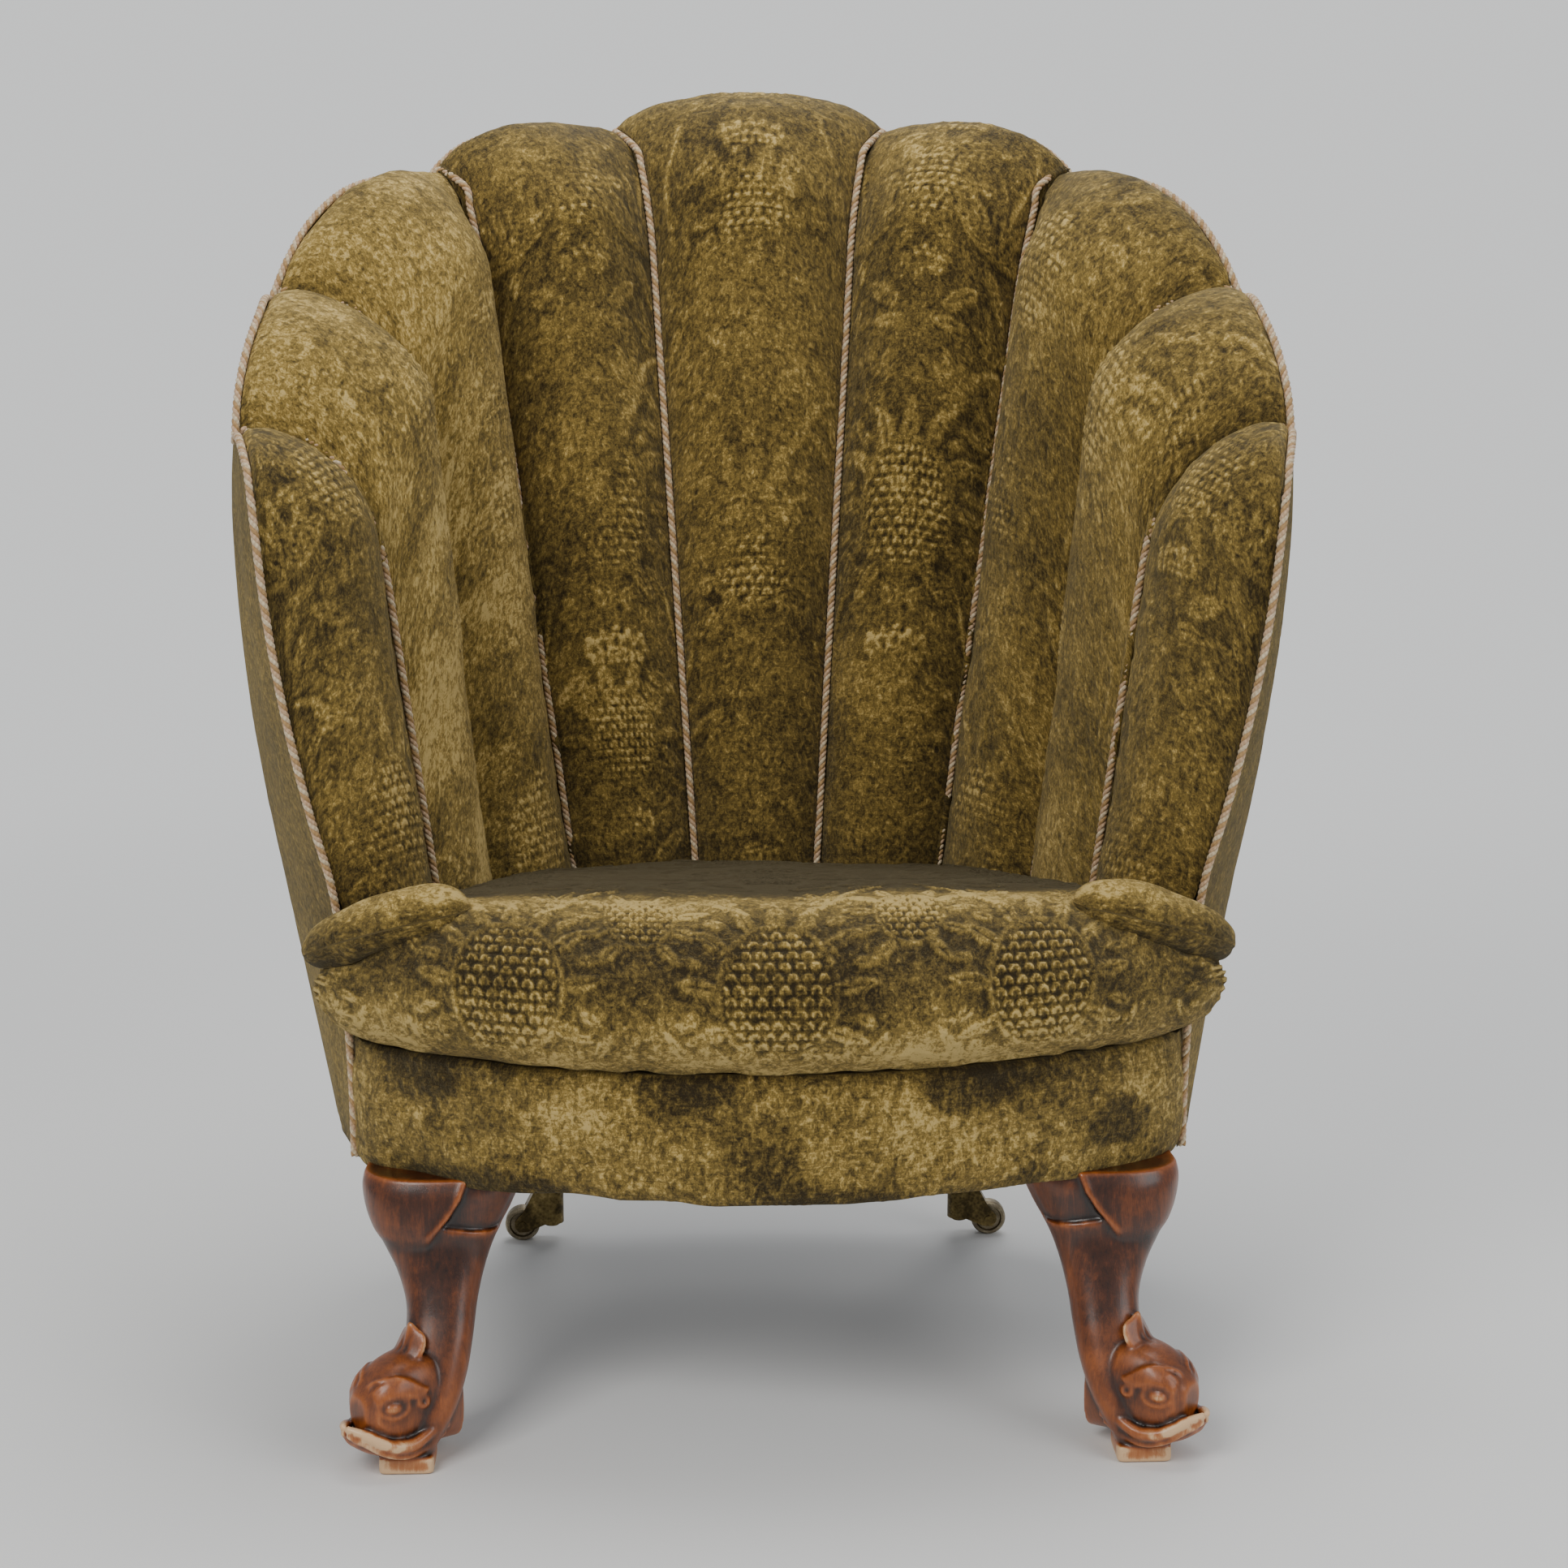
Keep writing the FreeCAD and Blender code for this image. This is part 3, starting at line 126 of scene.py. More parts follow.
def pale_floor():
    """A large matt square that fades out into the surroundings away from the chair."""
    mesh = bpy.data.meshes.new("floor")
    h = FLOOR_HALF
    mesh.from_pydata([(-h, -h, 0), (h, -h, 0), (h, h, 0), (-h, h, 0)], [], [(0, 1, 2, 3)])
    floor = bpy.data.objects.new("floor", mesh)
    bpy.context.scene.collection.objects.link(floor)
    matte = bpy.data.materials.new("pale_floor")
    matte.use_nodes = True
    tree = matte.node_tree
    base = tree.nodes["Principled BSDF"]
    plug(tree, base, {"Base Color": (0.80, 0.80, 0.79, 1), "Roughness": 0.8})
    place = add_node(tree, "TexCoord").outputs["Object"]
    far = add_node(tree, "VectorMath", {0: place}, operation="LENGTH").outputs["Value"]
    fade = add_node(tree, "MapRange", {"Value": far, "From Min": 0.75, "From Max": 2.6},
                    interpolation_type="SMOOTHSTEP")
    clear = add_node(tree, "BsdfTransparent")
    mix = add_node(tree, "MixShader", {0: fade.outputs[0], 1: base.outputs[0], 2: clear.outputs[0]})
    plug(tree, tree.nodes["Material Output"], {"Surface": mix.outputs[0]})
    mesh.materials.append(matte)


place_camera()
surroundings()
for lamp_row in LAMPS:
    soft_lamp(*lamp_row)
pale_floor()


# Mesh makers

def mesh_of(name, points, quads, tris=None):
    """A mesh from an (N, 3) array in millimetres and index arrays of quads and triangles."""
    points = np.asarray(points, float).reshape(-1, 3) * 0.001
    quads = np.asarray(quads, np.int32).reshape(-1, 4)
    tris = np.zeros((0, 3), np.int32) if tris is None else np.asarray(tris, np.int32).reshape(-1, 3)
    mesh = bpy.data.meshes.new(name)
    mesh.vertices.add(len(points))
    mesh.vertices.foreach_set("co", points.ravel())
    mesh.loops.add(quads.size + tris.size)
    mesh.loops.foreach_set("vertex_index", np.concatenate([quads.ravel(), tris.ravel()]))
    count = len(quads) + len(tris)
    mesh.polygons.add(count)
    sizes = np.concatenate([np.full(len(quads), 4), np.full(len(tris), 3)])
    mesh.polygons.foreach_set("loop_start", np.concatenate([[0], np.cumsum(sizes)[:-1]]).astype(np.int32))
    mesh.polygons.foreach_set("use_smooth", np.full(count, True))
    mesh.update(calc_edges=True)
    mesh.validate()
    return mesh


def grid_quads(rows, columns, wrap_columns=False, wrap_rows=False):
    """Quads of a grid of vertices numbered row by row, joined round at the sides or ends that wrap."""
    r = np.arange(rows if wrap_rows else rows - 1)
    c = np.arange(columns if wrap_columns else columns - 1)
    r, c = np.meshgrid(r, c, indexing="ij")
    r2, c2 = (r + 1) % rows, (c + 1) % columns
    corners = [r * columns + c, r * columns + c2, r2 * columns + c2, r2 * columns + c]
    return np.stack(corners, -1).reshape(-1, 4)


def set_values(mesh, name, values):
    """A named number at each vertex."""
    layer = mesh.attributes.new(name, "FLOAT", "POINT")
    layer.data.foreach_set("value", np.asarray(values, np.float32).ravel())


def set_cloth(mesh, across, along):
    """UV map of the cloth's own flat coordinates, in metres, from one value a vertex."""
    layer = mesh.uv_layers.new(name="cloth")
    index = np.zeros(len(mesh.loops), np.int32)
    mesh.loops.foreach_get("vertex_index", index)
    flat = np.stack([np.asarray(across).ravel()[index], np.asarray(along).ravel()[index]], -1) * 0.001
    layer.data.foreach_set("uv", flat.astype(np.float32).ravel())


def outward(mesh):
    """Turns every face of a closed mesh outwards."""
    work = bmesh.new()
    work.from_mesh(mesh)
    bmesh.ops.recalc_face_normals(work, faces=work.faces)
    work.to_mesh(mesh)
    work.free()


def piece(name, mesh, material, node):
    """One finished piece of the chair's body, in the place of a node of the frame."""
    item = bpy.data.objects.new(name, mesh)
    bpy.context.scene.collection.objects.link(item)
    mesh.materials.clear()
    mesh.materials.append(material)
    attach(item, "chair")
    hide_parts(node)
    return item


def padded_piece(name, mesh, material, node):
    """A finished piece that is stuffed."""
    piece(name, mesh, material, node)


def unit(vectors):
    """Vectors brought to length one."""
    return vectors / np.maximum(np.linalg.norm(vectors, axis=-1, keepdims=True), 1e-9)


def facing(grid):
    """Unit normals of a grid of points, from its two directions."""
    down = np.gradient(grid, axis=0)
    over = np.gradient(grid, axis=1)
    return unit(np.cross(over, down))


def length_along(grid, axis):
    """Arc length along one direction of a grid, starting at 0."""
    steps = np.linalg.norm(np.diff(grid, axis=axis), axis=-1)
    pad = [(0, 0), (0, 0)]
    pad[axis] = (1, 0)
    return np.pad(np.cumsum(steps, axis=axis), pad)


def ramp(x, low, high):
    """Rises from 0 at low to 1 at high with level ends."""
    t = np.clip((np.asarray(x, float) - low) / (high - low), 0, 1)
    return t * t * (3 - 2 * t)


def hills(x, y, scale, seed):
    """Smooth random heights from -1 to 1, about one hill to each scale millimetres."""
    table = np.random.default_rng(seed).uniform(-1, 1, (64, 64))
    u, v = np.asarray(x, float) / scale, np.asarray(y, float) / scale
    i, j = np.floor(u).astype(int), np.floor(v).astype(int)
    a, b = u - i, v - j
    a, b = a * a * (3 - 2 * a), b * b * (3 - 2 * b)
    i, j = i % 64, j % 64
    i2, j2 = (i + 1) % 64, (j + 1) % 64
    return (table[i, j] * (1 - a) * (1 - b) + table[i2, j] * a * (1 - b)
            + table[i, j2] * (1 - a) * b + table[i2, j2] * a * b)


def smooth_path(points, step):
    """Points every step millimetres along a Catmull-Rom curve through the given ones."""
    p = np.asarray(points, float)
    p = np.vstack([2 * p[0] - p[1], p, 2 * p[-1] - p[-2]])
    t = np.linspace(0, 1, 40, endpoint=False)[:, None]
    runs = []
    for a, b, c, d in zip(p, p[1:], p[2:], p[3:]):
        runs.append(0.5 * (2 * b + (c - a) * t + (2 * a - 5 * b + 4 * c - d) * t ** 2
                           + (3 * b - a - 3 * c + d) * t ** 3))
    fine = np.vstack(runs + [p[-2:-1]])
    far = np.concatenate([[0], np.cumsum(np.linalg.norm(np.diff(fine, axis=0), axis=1))])
    count = max(2, int(round(far[-1] / step)) + 1)
    at = np.linspace(0, far[-1], count)
    return np.stack([np.interp(at, far, fine[:, k]) for k in range(fine.shape[1])], -1), at


def carried_frame(path):
    """Tangent and two cross directions along a path, carried without twist."""
    way = unit(np.gradient(path, axis=0))
    side = np.zeros_like(way)
    first = np.cross(way[0], [0, 0, 1.0])
    if np.linalg.norm(first) < 0.2:
        first = np.cross(way[0], [0, 1.0, 0])
    side[0] = first / np.linalg.norm(first)
    for k in range(1, len(way)):
        s = side[k - 1] - way[k] * np.dot(side[k - 1], way[k])
        side[k] = s / np.linalg.norm(s)
    return way, side, np.cross(way, side)


def tube_points(path, radius, sides=12, squash=1.0, turn=None):
    """Rings of points round a path. The radius may change along it, and squash scales the second direction."""
    way, side, up = carried_frame(path)
    if turn is not None:
        side = unit(np.cross(way, turn))
        up = np.cross(side, way)
    angle = np.linspace(0, 2 * np.pi, sides, endpoint=False)
    radius = np.broadcast_to(np.asarray(radius, float), (len(path),))[:, None, None]
    around = side[:, None] * np.cos(angle)[None, :, None] + squash * up[:, None] * np.sin(angle)[None, :, None]
    return path[:, None] + around * radius


def closed_tube(grid):
    """Points, quads and triangles of a grid of rings with both ends closed by a fan."""
    rows, sides = grid.shape[:2]
    points = np.vstack([grid.reshape(-1, 3), grid[0].mean(0)[None], grid[-1].mean(0)[None]])
    quads = grid_quads(rows, sides, wrap_columns=True)
    k = np.arange(sides)
    k2 = (k + 1) % sides
    first, last = rows * sides, rows * sides + 1
    tris = np.vstack([np.stack([k2, k, np.full(sides, first)], -1),
                      np.stack([k + (rows - 1) * sides, k2 + (rows - 1) * sides, np.full(sides, last)], -1)])
    return points, quads, tris


def merged(parts):
    """One set of points, quads and triangles from several."""
    points, quads, tris, start = [], [], [], 0
    for p, q, t in parts:
        points.append(np.asarray(p, float).reshape(-1, 3))
        quads.append(np.asarray(q, int).reshape(-1, 4) + start)
        tris.append(np.asarray(t, int).reshape(-1, 3) + start)
        start += len(points[-1])
    return np.vstack(points), np.vstack(quads), np.vstack(tris)


# Shape of the shell: the same driving sizes as the frame

BASE, SHOULDER, CROWN = 207.0, 700.0, 1000.0
AXIS_Y = 56.0
VALLEY_A = np.array([24.2, 57.5, 90.0, 114.0, 127.5])
VALLEY_Z = np.array([1008.0, 974.0, 877.0, 776.0, 745.0])
PEAK_A = np.array([0.0, 39.3, 66.0, 97.0, 119.0])
PEAK_Z = np.array([1050.0, 1021.0, 979.0, 883.0, 786.0])
CREASE_LOW = np.array([[59, 170], [172, 155], [246, 52], [270, -108]], float)
CREASE_TOP = np.array([[99, 278], [256, 210], [312, 35], [325, -112]], float)
COVER, WALL_INSET = 3.0, 26.5
CHANNEL_LOW, CREASE_Z, ROLL, CROWN_RISE = 310.0, 360.0, 110.0, 30.0
CORD_R = 3.3


def shell_radius(bearing, z):
    """Ellipse behind the axis, parabola before it; the half width swells to the shoulder and closes above."""
    bearing, z = np.broadcast_arrays(np.asarray(bearing, float), np.asarray(z, float))
    low = 436 - 70 * (np.clip(SHOULDER - z, 0, None) / (SHOULDER - BASE)) ** 1.8
    high = 436 - 92 * (np.clip(z - SHOULDER, 0, None) / (CROWN - SHOULDER)) ** 2
    half = np.where(z < SHOULDER, low, high)
    back = 233 + 0.155 * (z - BASE) - AXIS_Y
    turn = np.radians(np.abs(bearing))
    side, rear = np.maximum(np.sin(turn), 1e-6), np.cos(turn)
    behind = 1 / np.hypot(side / half, rear / back)
    flare = np.clip((z - 400) / 350, 0, 1)
    arm = 336 + 52 * (1 - (1 - flare) ** 2)
    reach = AXIS_Y - (-170 - 0.146 * (z - BASE))
    bend = (half - arm) * (rear / side / reach) ** 2 + 1e-9
    before = (np.sqrt(1 + 4 * bend * half) - 1) / (2 * bend) / side
    return np.where(rear >= 0, behind, before)


def ring(bearing, z, inset=0.0):
    """Places on the shell at a bearing and a height, brought in by inset towards its axis."""
    bearing, z, inset = np.broadcast_arrays(*(np.asarray(part, float) for part in (bearing, z, inset)))
    turn = np.radians(bearing)
    radius = shell_radius(bearing, z) - inset
    return np.stack([radius * np.sin(turn), AXIS_Y + radius * np.cos(turn), z], -1)


def edge_height(bearing):
    """Scalloped edge: a quarter ellipse on either side of each peak."""
    a = np.abs(np.asarray(bearing, float))
    height = np.zeros_like(a)
    for n in range(5):
        low_a, low_z = (-VALLEY_A[0], VALLEY_Z[0]) if n == 0 else (VALLEY_A[n - 1], VALLEY_Z[n - 1])
        inside = (a > (low_a if n else -1)) & (a <= (VALLEY_A[n] if n < 4 else 180))
        beyond = a > PEAK_A[n]
        foot_a, foot_z = np.where(beyond, VALLEY_A[n], low_a), np.where(beyond, VALLEY_Z[n], low_z)
        off = np.clip((a - PEAK_A[n]) / (foot_a - PEAK_A[n]), 0, 1)
        height = np.where(inside, foot_z + (PEAK_Z[n] - foot_z) * np.sqrt(1 - off * off), height)
    return height


def rail_top(bearing):
    """Top of the wooden rails: straight between the valleys, and 20 below them."""
    a = np.abs(np.asarray(bearing, float))
    return np.interp(a, np.concatenate([[0], VALLEY_A]), np.concatenate([VALLEY_Z[:1], VALLEY_Z])) - 20


def back_inset(bearing, z):
    """Depth of the stuffing's rear face: behind it the wood up to the rails, and above them the cover alone."""
    return WALL_INSET - (WALL_INSET - COVER) * ramp(z, rail_top(bearing), rail_top(bearing) + 45)


def crease_straight(n, z):
    """The straight part of crease n, 1 to 4."""
    share = (np.asarray(z, float) - CREASE_Z) / (VALLEY_Z[n - 1] - CREASE_Z)
    xy = CREASE_LOW[n - 1] + (CREASE_TOP[n - 1] - CREASE_LOW[n - 1]) * share[..., None]
    return np.concatenate([xy, np.asarray(z, float)[..., None]], -1)


def quarter(share):
    """0 at 0, rising ever faster to 1 at 1, along a quarter circle."""
    share = np.clip(share, 0, 1)
    return 1 - np.sqrt(1 - share * share)


def crease(n, z):
    """Crease n, 1 to 5: straight up the wall, then out to the valley on a quarter circle; 5 is the arm's front."""
    z = np.asarray(z, float)
    if n == 5:
        return ring(VALLEY_A[4], z, COVER + 2)
    straight = crease_straight(n, z)
    valley = ring(VALLEY_A[n - 1], z, back_inset(VALLEY_A[n - 1], z))
    roll = quarter((z - VALLEY_Z[n - 1] + ROLL) / ROLL)[..., None]
    return straight + (valley - straight) * roll


# Routes of the cords

def brought_in(points, by):
    """Points moved level towards the shell axis."""
    way = np.stack([-points[..., 0], AXIS_Y - points[..., 1], 0 * points[..., 0]], -1)
    return points + unit(way) * by


def crease_route(n):
    """In front of the crease from under the seat, up to the valley and over it to the outside edge."""
    top = VALLEY_Z[n - 1]
    share = np.array([0.03, 0.12, 0.21, 0.3, 0.39, 0.48, 0.57, 0.66, 0.74, 0.81, 0.87, 0.92, 0.955, 0.98])
    z = CHANNEL_LOW + (top - CHANNEL_LOW) * share
    points = brought_in(crease(n, z), 9.6)
    rim = ring(VALLEY_A[n - 1], top + 1, 12)
    over = ring(VALLEY_A[n - 1], top - 2, 4)
    return np.vstack([points, rim[None], over[None]])


def cover_top(bearing):
    """Upper edge of the outside covers, a little under the scallops."""
    return edge_height(bearing) - 12


def arm_route():
    """Up the corner of the seat rail and the arm front, then round the scalloped edge to the middle."""
    z = np.array([BASE + CORD_R, 262, 318, 374, 430, 486, 542, 598, 654, VALLEY_Z[4] - 38])
    tucked = ramp(z, 385, 440)
    points = [ring(VALLEY_A[4], z) + np.stack([1 - 3 * tucked, 2.5 * tucked - CORD_R - 0.3, 0 * z], -1)]
    for n in (4, 3, 2, 1, 0):
        low_a = VALLEY_A[n - 1] if n else 0.0
        before = PEAK_A[n] + (VALLEY_A[n] - PEAK_A[n]) * np.array([0.93, 0.75, 0.45, 0.1])
        after = PEAK_A[n] + (low_a - PEAK_A[n]) * np.array([0.4, 0.85]) if n else np.array([0.0])
        a = np.concatenate([before, after])
        crest = 0.5 * ramp(a, 98, 102) * (1 - ramp(a, 107, 113))
        points.append(ring(a, cover_top(a) + CORD_R - 1.5 + 9.5 * crest, 1.6 + 6.0 * crest))
    return np.vstack(points)


def keep_clear(points, route, room):
    """Moves points that lie nearer than room to a route straight out to that distance."""
    line, _ = smooth_path(route, 3.0)
    flat = points.reshape(-1, 3)
    low, high = line.min(0) - 8, line.max(0) + 8
    near = np.where(((flat > low) & (flat < high)).all(1))[0]
    for chunk in np.array_split(near, max(1, len(near) // 4000)):
        if not len(chunk):
            continue
        p = flat[chunk]
        d2 = ((p[:, None] - line[None]) ** 2).sum(-1)
        k = np.clip(d2.argmin(1), 1, len(line) - 2)
        way = unit(line[k + 1] - line[k - 1])
        off = p - line[k]
        off -= way * (off * way).sum(1, keepdims=True)
        dist = np.linalg.norm(off, axis=1, keepdims=True)
        push = np.clip(room - dist, 0, None) * (np.sqrt(d2.min(1, keepdims=True)) < room + 4)
        flat[chunk] = p + unit(off) * push
    return flat.reshape(points.shape)


# Pressed pattern of the cloth: heights from 0 to 1 over flat coordinates in millimetres

REPEAT_X, REPEAT_Y = 205.0, 496.0


def drop(x, y, cx, cy, length, width, angle, soft=1.6):
    """A leaf: pointed at its tip, round at its root, with a raised rim and a vein down the middle."""
    c, s = math.cos(math.radians(angle)), math.sin(math.radians(angle))
    u = ((x - cx) * c + (y - cy) * s) / length
    v = (-(x - cx) * s + (y - cy) * c)
    half = width * np.sqrt(np.clip(u, 0, 1)) * np.clip(1 - u, 0, 1) ** 0.75 * 1.55
    inside = np.clip((half - np.abs(v)) / soft, 0, 1) * (u > 0) * (u < 1)
    rim = np.exp(-((half - np.abs(v)) / 1.5) ** 2) * (u > -0.02) * (u < 1.02)
    vein = np.exp(-(v / 1.1) ** 2) * (u > 0.05) * (u < 0.85)
    return np.clip(0.55 * inside + 0.45 * rim - 0.4 * vein * inside, 0, 1)


def scales(x, y, cx, cy, rx, ry, pitch):
    """A cone of overlapping scales inside an upright oval."""
    u, v = (x - cx) / pitch, (y - cy) / (pitch * 0.8)
    row = np.floor(v)
    f = v - row
    g = (u + 0.5 * (row % 2)) % 1.0 - 0.5
    far = np.hypot(g * 1.5, f - 0.1)
    scale = ramp(far, 0.62, 0.5) - 0.75 * ramp(far, 0.42, 0.2)
    edge = np.hypot((x - cx) / rx, (y - cy) / ry)
    mask = ramp(edge, 1.0, 0.9)
    rim = np.exp(-((edge - 1.04) / 0.05) ** 2)
    return np.clip(scale * mask + 0.6 * rim, 0, 1)


def palm(x, y, cx, cy, size, angle):
    """Five pointed fingers spread from one root."""
    height = np.zeros_like(x)
    for spread, share in ((-70, 0.62), (-36, 0.85), (0, 1.0), (36, 0.85), (70, 0.62)):
        height = np.maximum(height, drop(x, y, cx, cy, size * share, size * 0.13, angle + spread))
    return height


def crown(x, y, cx, cy, size):
    """A band with pearls under five arches."""
    u, v = (x - cx) / size, (y - cy) / size
    band = ramp(np.abs(v + 0.28), 0.11, 0.06) * ramp(np.abs(u), 0.62, 0.56)
    height = band * (0.65 + 0.35 * np.cos(u * 40))
    for k in range(-2, 3):
        far = np.hypot((u - k * 0.24), (v - 0.02 + 0.05 * abs(k)) * 0.8)
        height = np.maximum(height, np.exp(-((far - 0.13) / 0.035) ** 2) * (v > -0.2))
        height = np.maximum(height, ramp(np.hypot(u - k * 0.27, v - 0.3 + 0.07 * abs(k)), 0.075, 0.04))
    return np.clip(height, 0, 1)


def stem(x, y, points, width):
    """A raised line through points."""
    line, _ = smooth_path(np.array([(px, py, 0) for px, py in points]), 3.0)
    best = np.full(x.shape, 1e9)
    for px, py, _ in line:
        best = np.minimum(best, (x - px) ** 2 + (y - py) ** 2)
    return np.exp(-best / width ** 2)


# Leaves of the pattern as rings round a fruit: middle height, ring half axes, length, width, turn, bearings
FRUIT_LEAVES = [(0, 345, 44, 58, 32, 8.5, 8, (-30, 2, 34)), (0, 345, 44, 58, 38, 8.5, 8, (-62, 64, 88)),
                (0, 345, 60, 76, 18, 5.5, -14, (-78, -46, -14, 18, 50)),
                (0, 138, 33, 43, 26, 7, 12, (-70, -35, 0, 35, 70)),
                (102.5, 420, 29, 40, 24, 6.5, -10, (120, 150, 180, 210, 240))]
# root, length, width, angle
LOOSE_LEAVES = [(30, 196, 34, 8, -28), (24, 186, 30, 7, -62), (66, 78, 40, 9, -60), (22, 26, 42, 9, 40),
                (14, 12, 34, 7, 5), (28, 440, 34, 8, 20)]
FRUITS = [(0, 345, 42, 56, 11.5), (0, 138, 30, 40, 9.5), (102.5, 420, 26, 36, 9.5)]
PALMS = [(58, 268, 52, 62), (72, 92, 62, 96), (84, 8, 40, 120), (36, 452, 40, 70)]
CROWNS = [(0, 222, 44), (0, 64, 34)]
STEMS = [([(60, 266), (70, 230), (88, 190), (84, 150), (72, 96)], 2.2),
         ([(20, 418), (44, 440), (60, 476), (84, 494)], 2.0)]
TILE_STEP = 0.5


def pattern_tile():
    """One repeat of the pattern on a fine grid: the highest of all its figures, symmetrical about its middle."""
    x, y = np.meshgrid(np.arange(0, REPEAT_X / 2, TILE_STEP), np.arange(0, REPEAT_Y, TILE_STEP), indexing="xy")
    figures = [scales(x, y, *row) for row in FRUITS] + [palm(x, y, *row) for row in PALMS]
    figures += [crown(x, y, *row) for row in CROWNS] + [stem(x, y, *row) for row in STEMS]
    figures += [drop(x, y, *row) for row in LOOSE_LEAVES]
    for cx, cy, rx, ry, length, width, turn, bearings in FRUIT_LEAVES:
        for angle in bearings:
            c, s = math.cos(math.radians(angle)), math.sin(math.radians(angle))
            figures.append(drop(x, y, cx + rx * c, cy + ry * s, length, width, angle + turn))
    half = np.maximum.reduce(figures)
    return np.concatenate([half[:, :0:-1], half], axis=1)


TILE = pattern_tile()


def pressed(x, y):
    """Height of the pressed pattern, by sampling the repeat."""
    rows, columns = TILE.shape
    u = (np.asarray(x, float) / TILE_STEP + columns / 2) % columns
    v = (np.asarray(y, float) / TILE_STEP) % rows
    i, j = np.floor(v).astype(int) % rows, np.floor(u).astype(int) % columns
    a, b = v - np.floor(v), u - np.floor(u)
    i2, j2 = (i + 1) % rows, (j + 1) % columns
    return (TILE[i, j] * (1 - a) * (1 - b) + TILE[i2, j] * a * (1 - b)
            + TILE[i, j2] * (1 - a) * b + TILE[i2, j2] * a * b)


def worn(x, y, seed):
    """Share of the pattern that is left: rubbed away in large soft patches."""
    patch = hills(x, y, 95, seed) + 0.6 * hills(x, y, 38, seed + 1)
    return ramp(patch, -0.75, 0.35)


# Materials

def nodes_of(name):
    """A new material, its nodes and its shader."""
    material = bpy.data.materials.new(name)
    material.use_nodes = True
    tree = material.node_tree
    return material, tree, tree.nodes["Principled BSDF"]


def sums(tree, operation, *parts, clamp=False):
    """One step of arithmetic between numbers and outputs."""
    return add_node(tree, "Math", dict(enumerate(parts)), operation=operation, use_clamp=clamp).outputs[0]


def added(tree, tone, value, gain, level=0.0, clamp=False):
    """A tone, plus a value times its gain, plus a level."""
    return sums(tree, "ADD", tone, sums(tree, "MULTIPLY_ADD", value, gain, level), clamp=clamp)


def wave(tree, turn):
    """A sine of an angle, from 0 to 1."""
    return sums(tree, "MULTIPLY_ADD", sums(tree, "SINE", turn), 0.5, 0.5)


def noise(tree, place, scale, detail, rough=0.5, twist=0.0):
    """Clouds from 0 to 1 at a place."""
    return add_node(tree, "TexNoise", {"Vector": place, "Scale": scale, "Detail": detail,
                                       "Roughness": rough, "Distortion": twist}).outputs[0]


def mapped(tree, place, **moves):
    """A place stretched or turned."""
    return add_node(tree, "Mapping", {"Vector": place, **moves}).outputs[0]


def spot_of(tree):
    """The place on the piece."""
    return add_node(tree, "TexCoord").outputs["Object"]


def relief(tree, base, height, strength, distance):
    """Small relief of a surface from a height."""
    bump = add_node(tree, "Bump", {"Height": height, "Strength": strength, "Distance": distance})
    plug(tree, base, {"Normal": bump.outputs[0]})


def colours(tree, factor, stops, steps="LINEAR"):
    """A colour from a number, by stops of place and colour."""
    node = add_node(tree, "ValToRGB", {"Fac": factor})
    scale = node.color_ramp
    scale.interpolation = steps
    while len(scale.elements) < len(stops):
        scale.elements.new(0.5)
    for element, (place, colour) in zip(scale.elements, stops):
        element.position = place
        element.color = colour
    return node.outputs["Color"]


def blend_colours(tree, factor, a, b, mode="MIX"):
    """Two colours blended by a factor."""
    node = add_node(tree, "Mix", data_type="RGBA", blend_type=mode)
    tints = [k for k, socket in enumerate(node.inputs) if socket.type == "RGBA"]
    plug(tree, node, {0: factor, tints[0]: a, tints[1]: b})
    return [socket for socket in node.outputs if socket.type == "RGBA"][0]


def value_of(tree, name):
    """A number that the mesh carries."""
    return add_node(tree, "Attribute", attribute_name=name).outputs["Fac"]


def velvet(name, contrast, shift, pile=1.0, rubbed=0.3):
    """Crushed pile: soft blotches and short strokes of light and dark, the pressed pattern with painted highlights
    on its rims, painted shade in the creases and hollows, painted light on the faces that catch it, and the weft
    showing as fine ridges where the pile is rubbed."""
    material, tree, base = nodes_of(name)
    cloth = add_node(tree, "UVMap", uv_map="cloth").outputs[0]
    blotch = noise(tree, cloth, 12.0, 6.0, 0.6, 0.5)
    squeeze = mapped(tree, cloth, Scale=(1.0, 0.75, 1.0))
    stroke = noise(tree, squeeze, 95.0, 9.0, 0.78, 0.8)
    tuft = noise(tree, squeeze, 240.0, 4.0, 0.85, 0.4)
    weft = noise(tree, mapped(tree, cloth, Scale=(0.16, 1.0, 1.0)), 620.0, 2.0, 0.6)
    tone = sums(tree, "MULTIPLY_ADD", blotch, 0.75 * contrast, 0.47 - 0.375 * contrast + shift)
    for value, gain in ((stroke, 1.9 * contrast), (tuft, 2.0), (weft, 0.9 * rubbed)):
        tone = added(tree, tone, value, gain, -gain / 2)
    # the mesh's numbers add the pattern with painted highlights and painted shade, then painted light with rubbed
    # patches, and take away painted shade
    tone = sums(tree, "ADD", tone, value_of(tree, "motif_and_painted_light"))
    tone = sums(tree, "ADD", tone, value_of(tree, "wear_and_painted_light"))
    tone = sums(tree, "SUBTRACT", tone, value_of(tree, "painted_shade_and_blotch"), clamp=True)
    plug(tree, base, {"Base Color": colours(tree, tone, GOLD_STOPS), "Roughness": 0.82, "Specular IOR Level": 0.25,
                      "Sheen Weight": 0.24, "Sheen Roughness": 0.34, "Sheen Tint": (0.95, 0.80, 0.45, 1)})
    height = added(tree, sums(tree, "MULTIPLY", stroke, 1.3), tuft, 0.7)
    height = added(tree, height, weft, 0.5 * rubbed + 0.1)
    relief(tree, base, height, 0.8 * pile, 0.0026)
    return material


